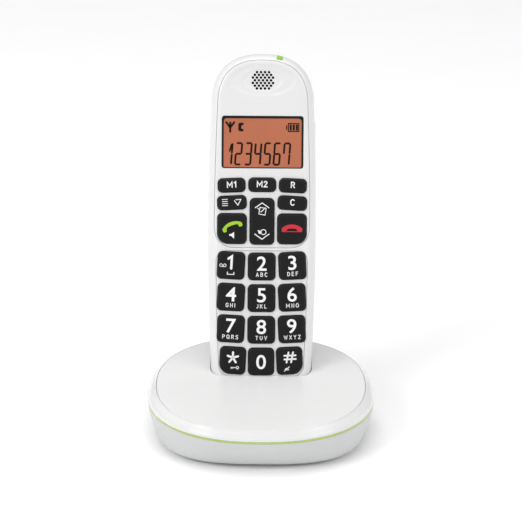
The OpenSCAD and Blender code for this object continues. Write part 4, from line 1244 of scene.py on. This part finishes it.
def dress_nodes():
    """Materials for the inner CAD nodes, whose shapes stay as they are."""
    for name, look in CARRIED.items():
        obj = frame["nodes"][name]
        obj.data.materials.clear()
        obj.data.materials.append(look)


# ---- floor, light, view


FLOOR = 8.0             # metres across
PAPER = material("floor_paper", (0.98, 0.98, 0.98), 0.75, grain=0.02, grain_size=2.0, drift=0.004)


def build_stage():
    floor = from_faces("floor", [(x, y, 0) for x, y in rect(0, 0, FLOOR, FLOOR)], [(0, 1, 2, 3)])
    floor.data.materials.append(PAPER)


def lamp(name, place, size, power):
    """Round area light, which looks at the middle of the object."""
    light = bpy.data.lights.new(name, "AREA")
    light.shape, light.size, light.energy = "DISK", size, power
    obj = new_object(name, light)
    obj.location = place
    aim = LAMP_AIM - Vector(place)
    obj.rotation_euler = aim.to_track_quat("-Z", "Y").to_euler()


LAMP_AIM = Vector((0, 0, 0.07))
WORLD_STRENGTH = 0.50
CAMERA_RISE = math.radians(22.38)
CAMERA_DISTANCE = 1.2
CAMERA_ROLL = math.radians(0.39)
CAMERA_LENS = 181.4
CAMERA_AIM = Vector((-0.00034, 0, 0.07722))


def build_camera():
    camera = bpy.data.cameras.new("camera")
    camera.lens = CAMERA_LENS
    obj = new_object("camera", camera)
    look = Vector((0, math.cos(CAMERA_RISE), -math.sin(CAMERA_RISE)))
    turn = look.to_track_quat("-Z", "Y").to_matrix().to_4x4() @ Matrix.Rotation(CAMERA_ROLL, 4, "Z")
    obj.matrix_world = Matrix.Translation(CAMERA_AIM - look * CAMERA_DISTANCE) @ turn
    bpy.context.scene.camera = obj


def build_light():
    world = bpy.data.worlds.new("studio")
    bpy.context.scene.world = world
    world.use_nodes = True
    background = world.node_tree.nodes["Background"]
    background.inputs["Color"].default_value = (1, 1, 1, 1)
    background.inputs["Strength"].default_value = WORLD_STRENGTH
    lamp("key_light", (-1.2, -0.8, 1.0), 0.9, 11.8)
    lamp("fill_light", (1.25, -0.8, 0.95), 1.1, 8)
    lamp("top_light", (-0.1, 0.1, 1.8), 1.4, 13)
    bpy.context.scene.view_settings.view_transform = "Standard"


build_front()
build_display()
build_back()
build_door()
build_rocker()
build_keys()
build_handset_parts()
build_rim()
build_plate()
build_base_sides()
build_feet_and_screws()
build_socket("line_socket", -SOCKET_X, 5, 4)
build_socket("power_socket", SOCKET_X, 4, 2)
build_page_key()
build_contacts()
dress_nodes()
build_stage()
build_light()
build_camera()
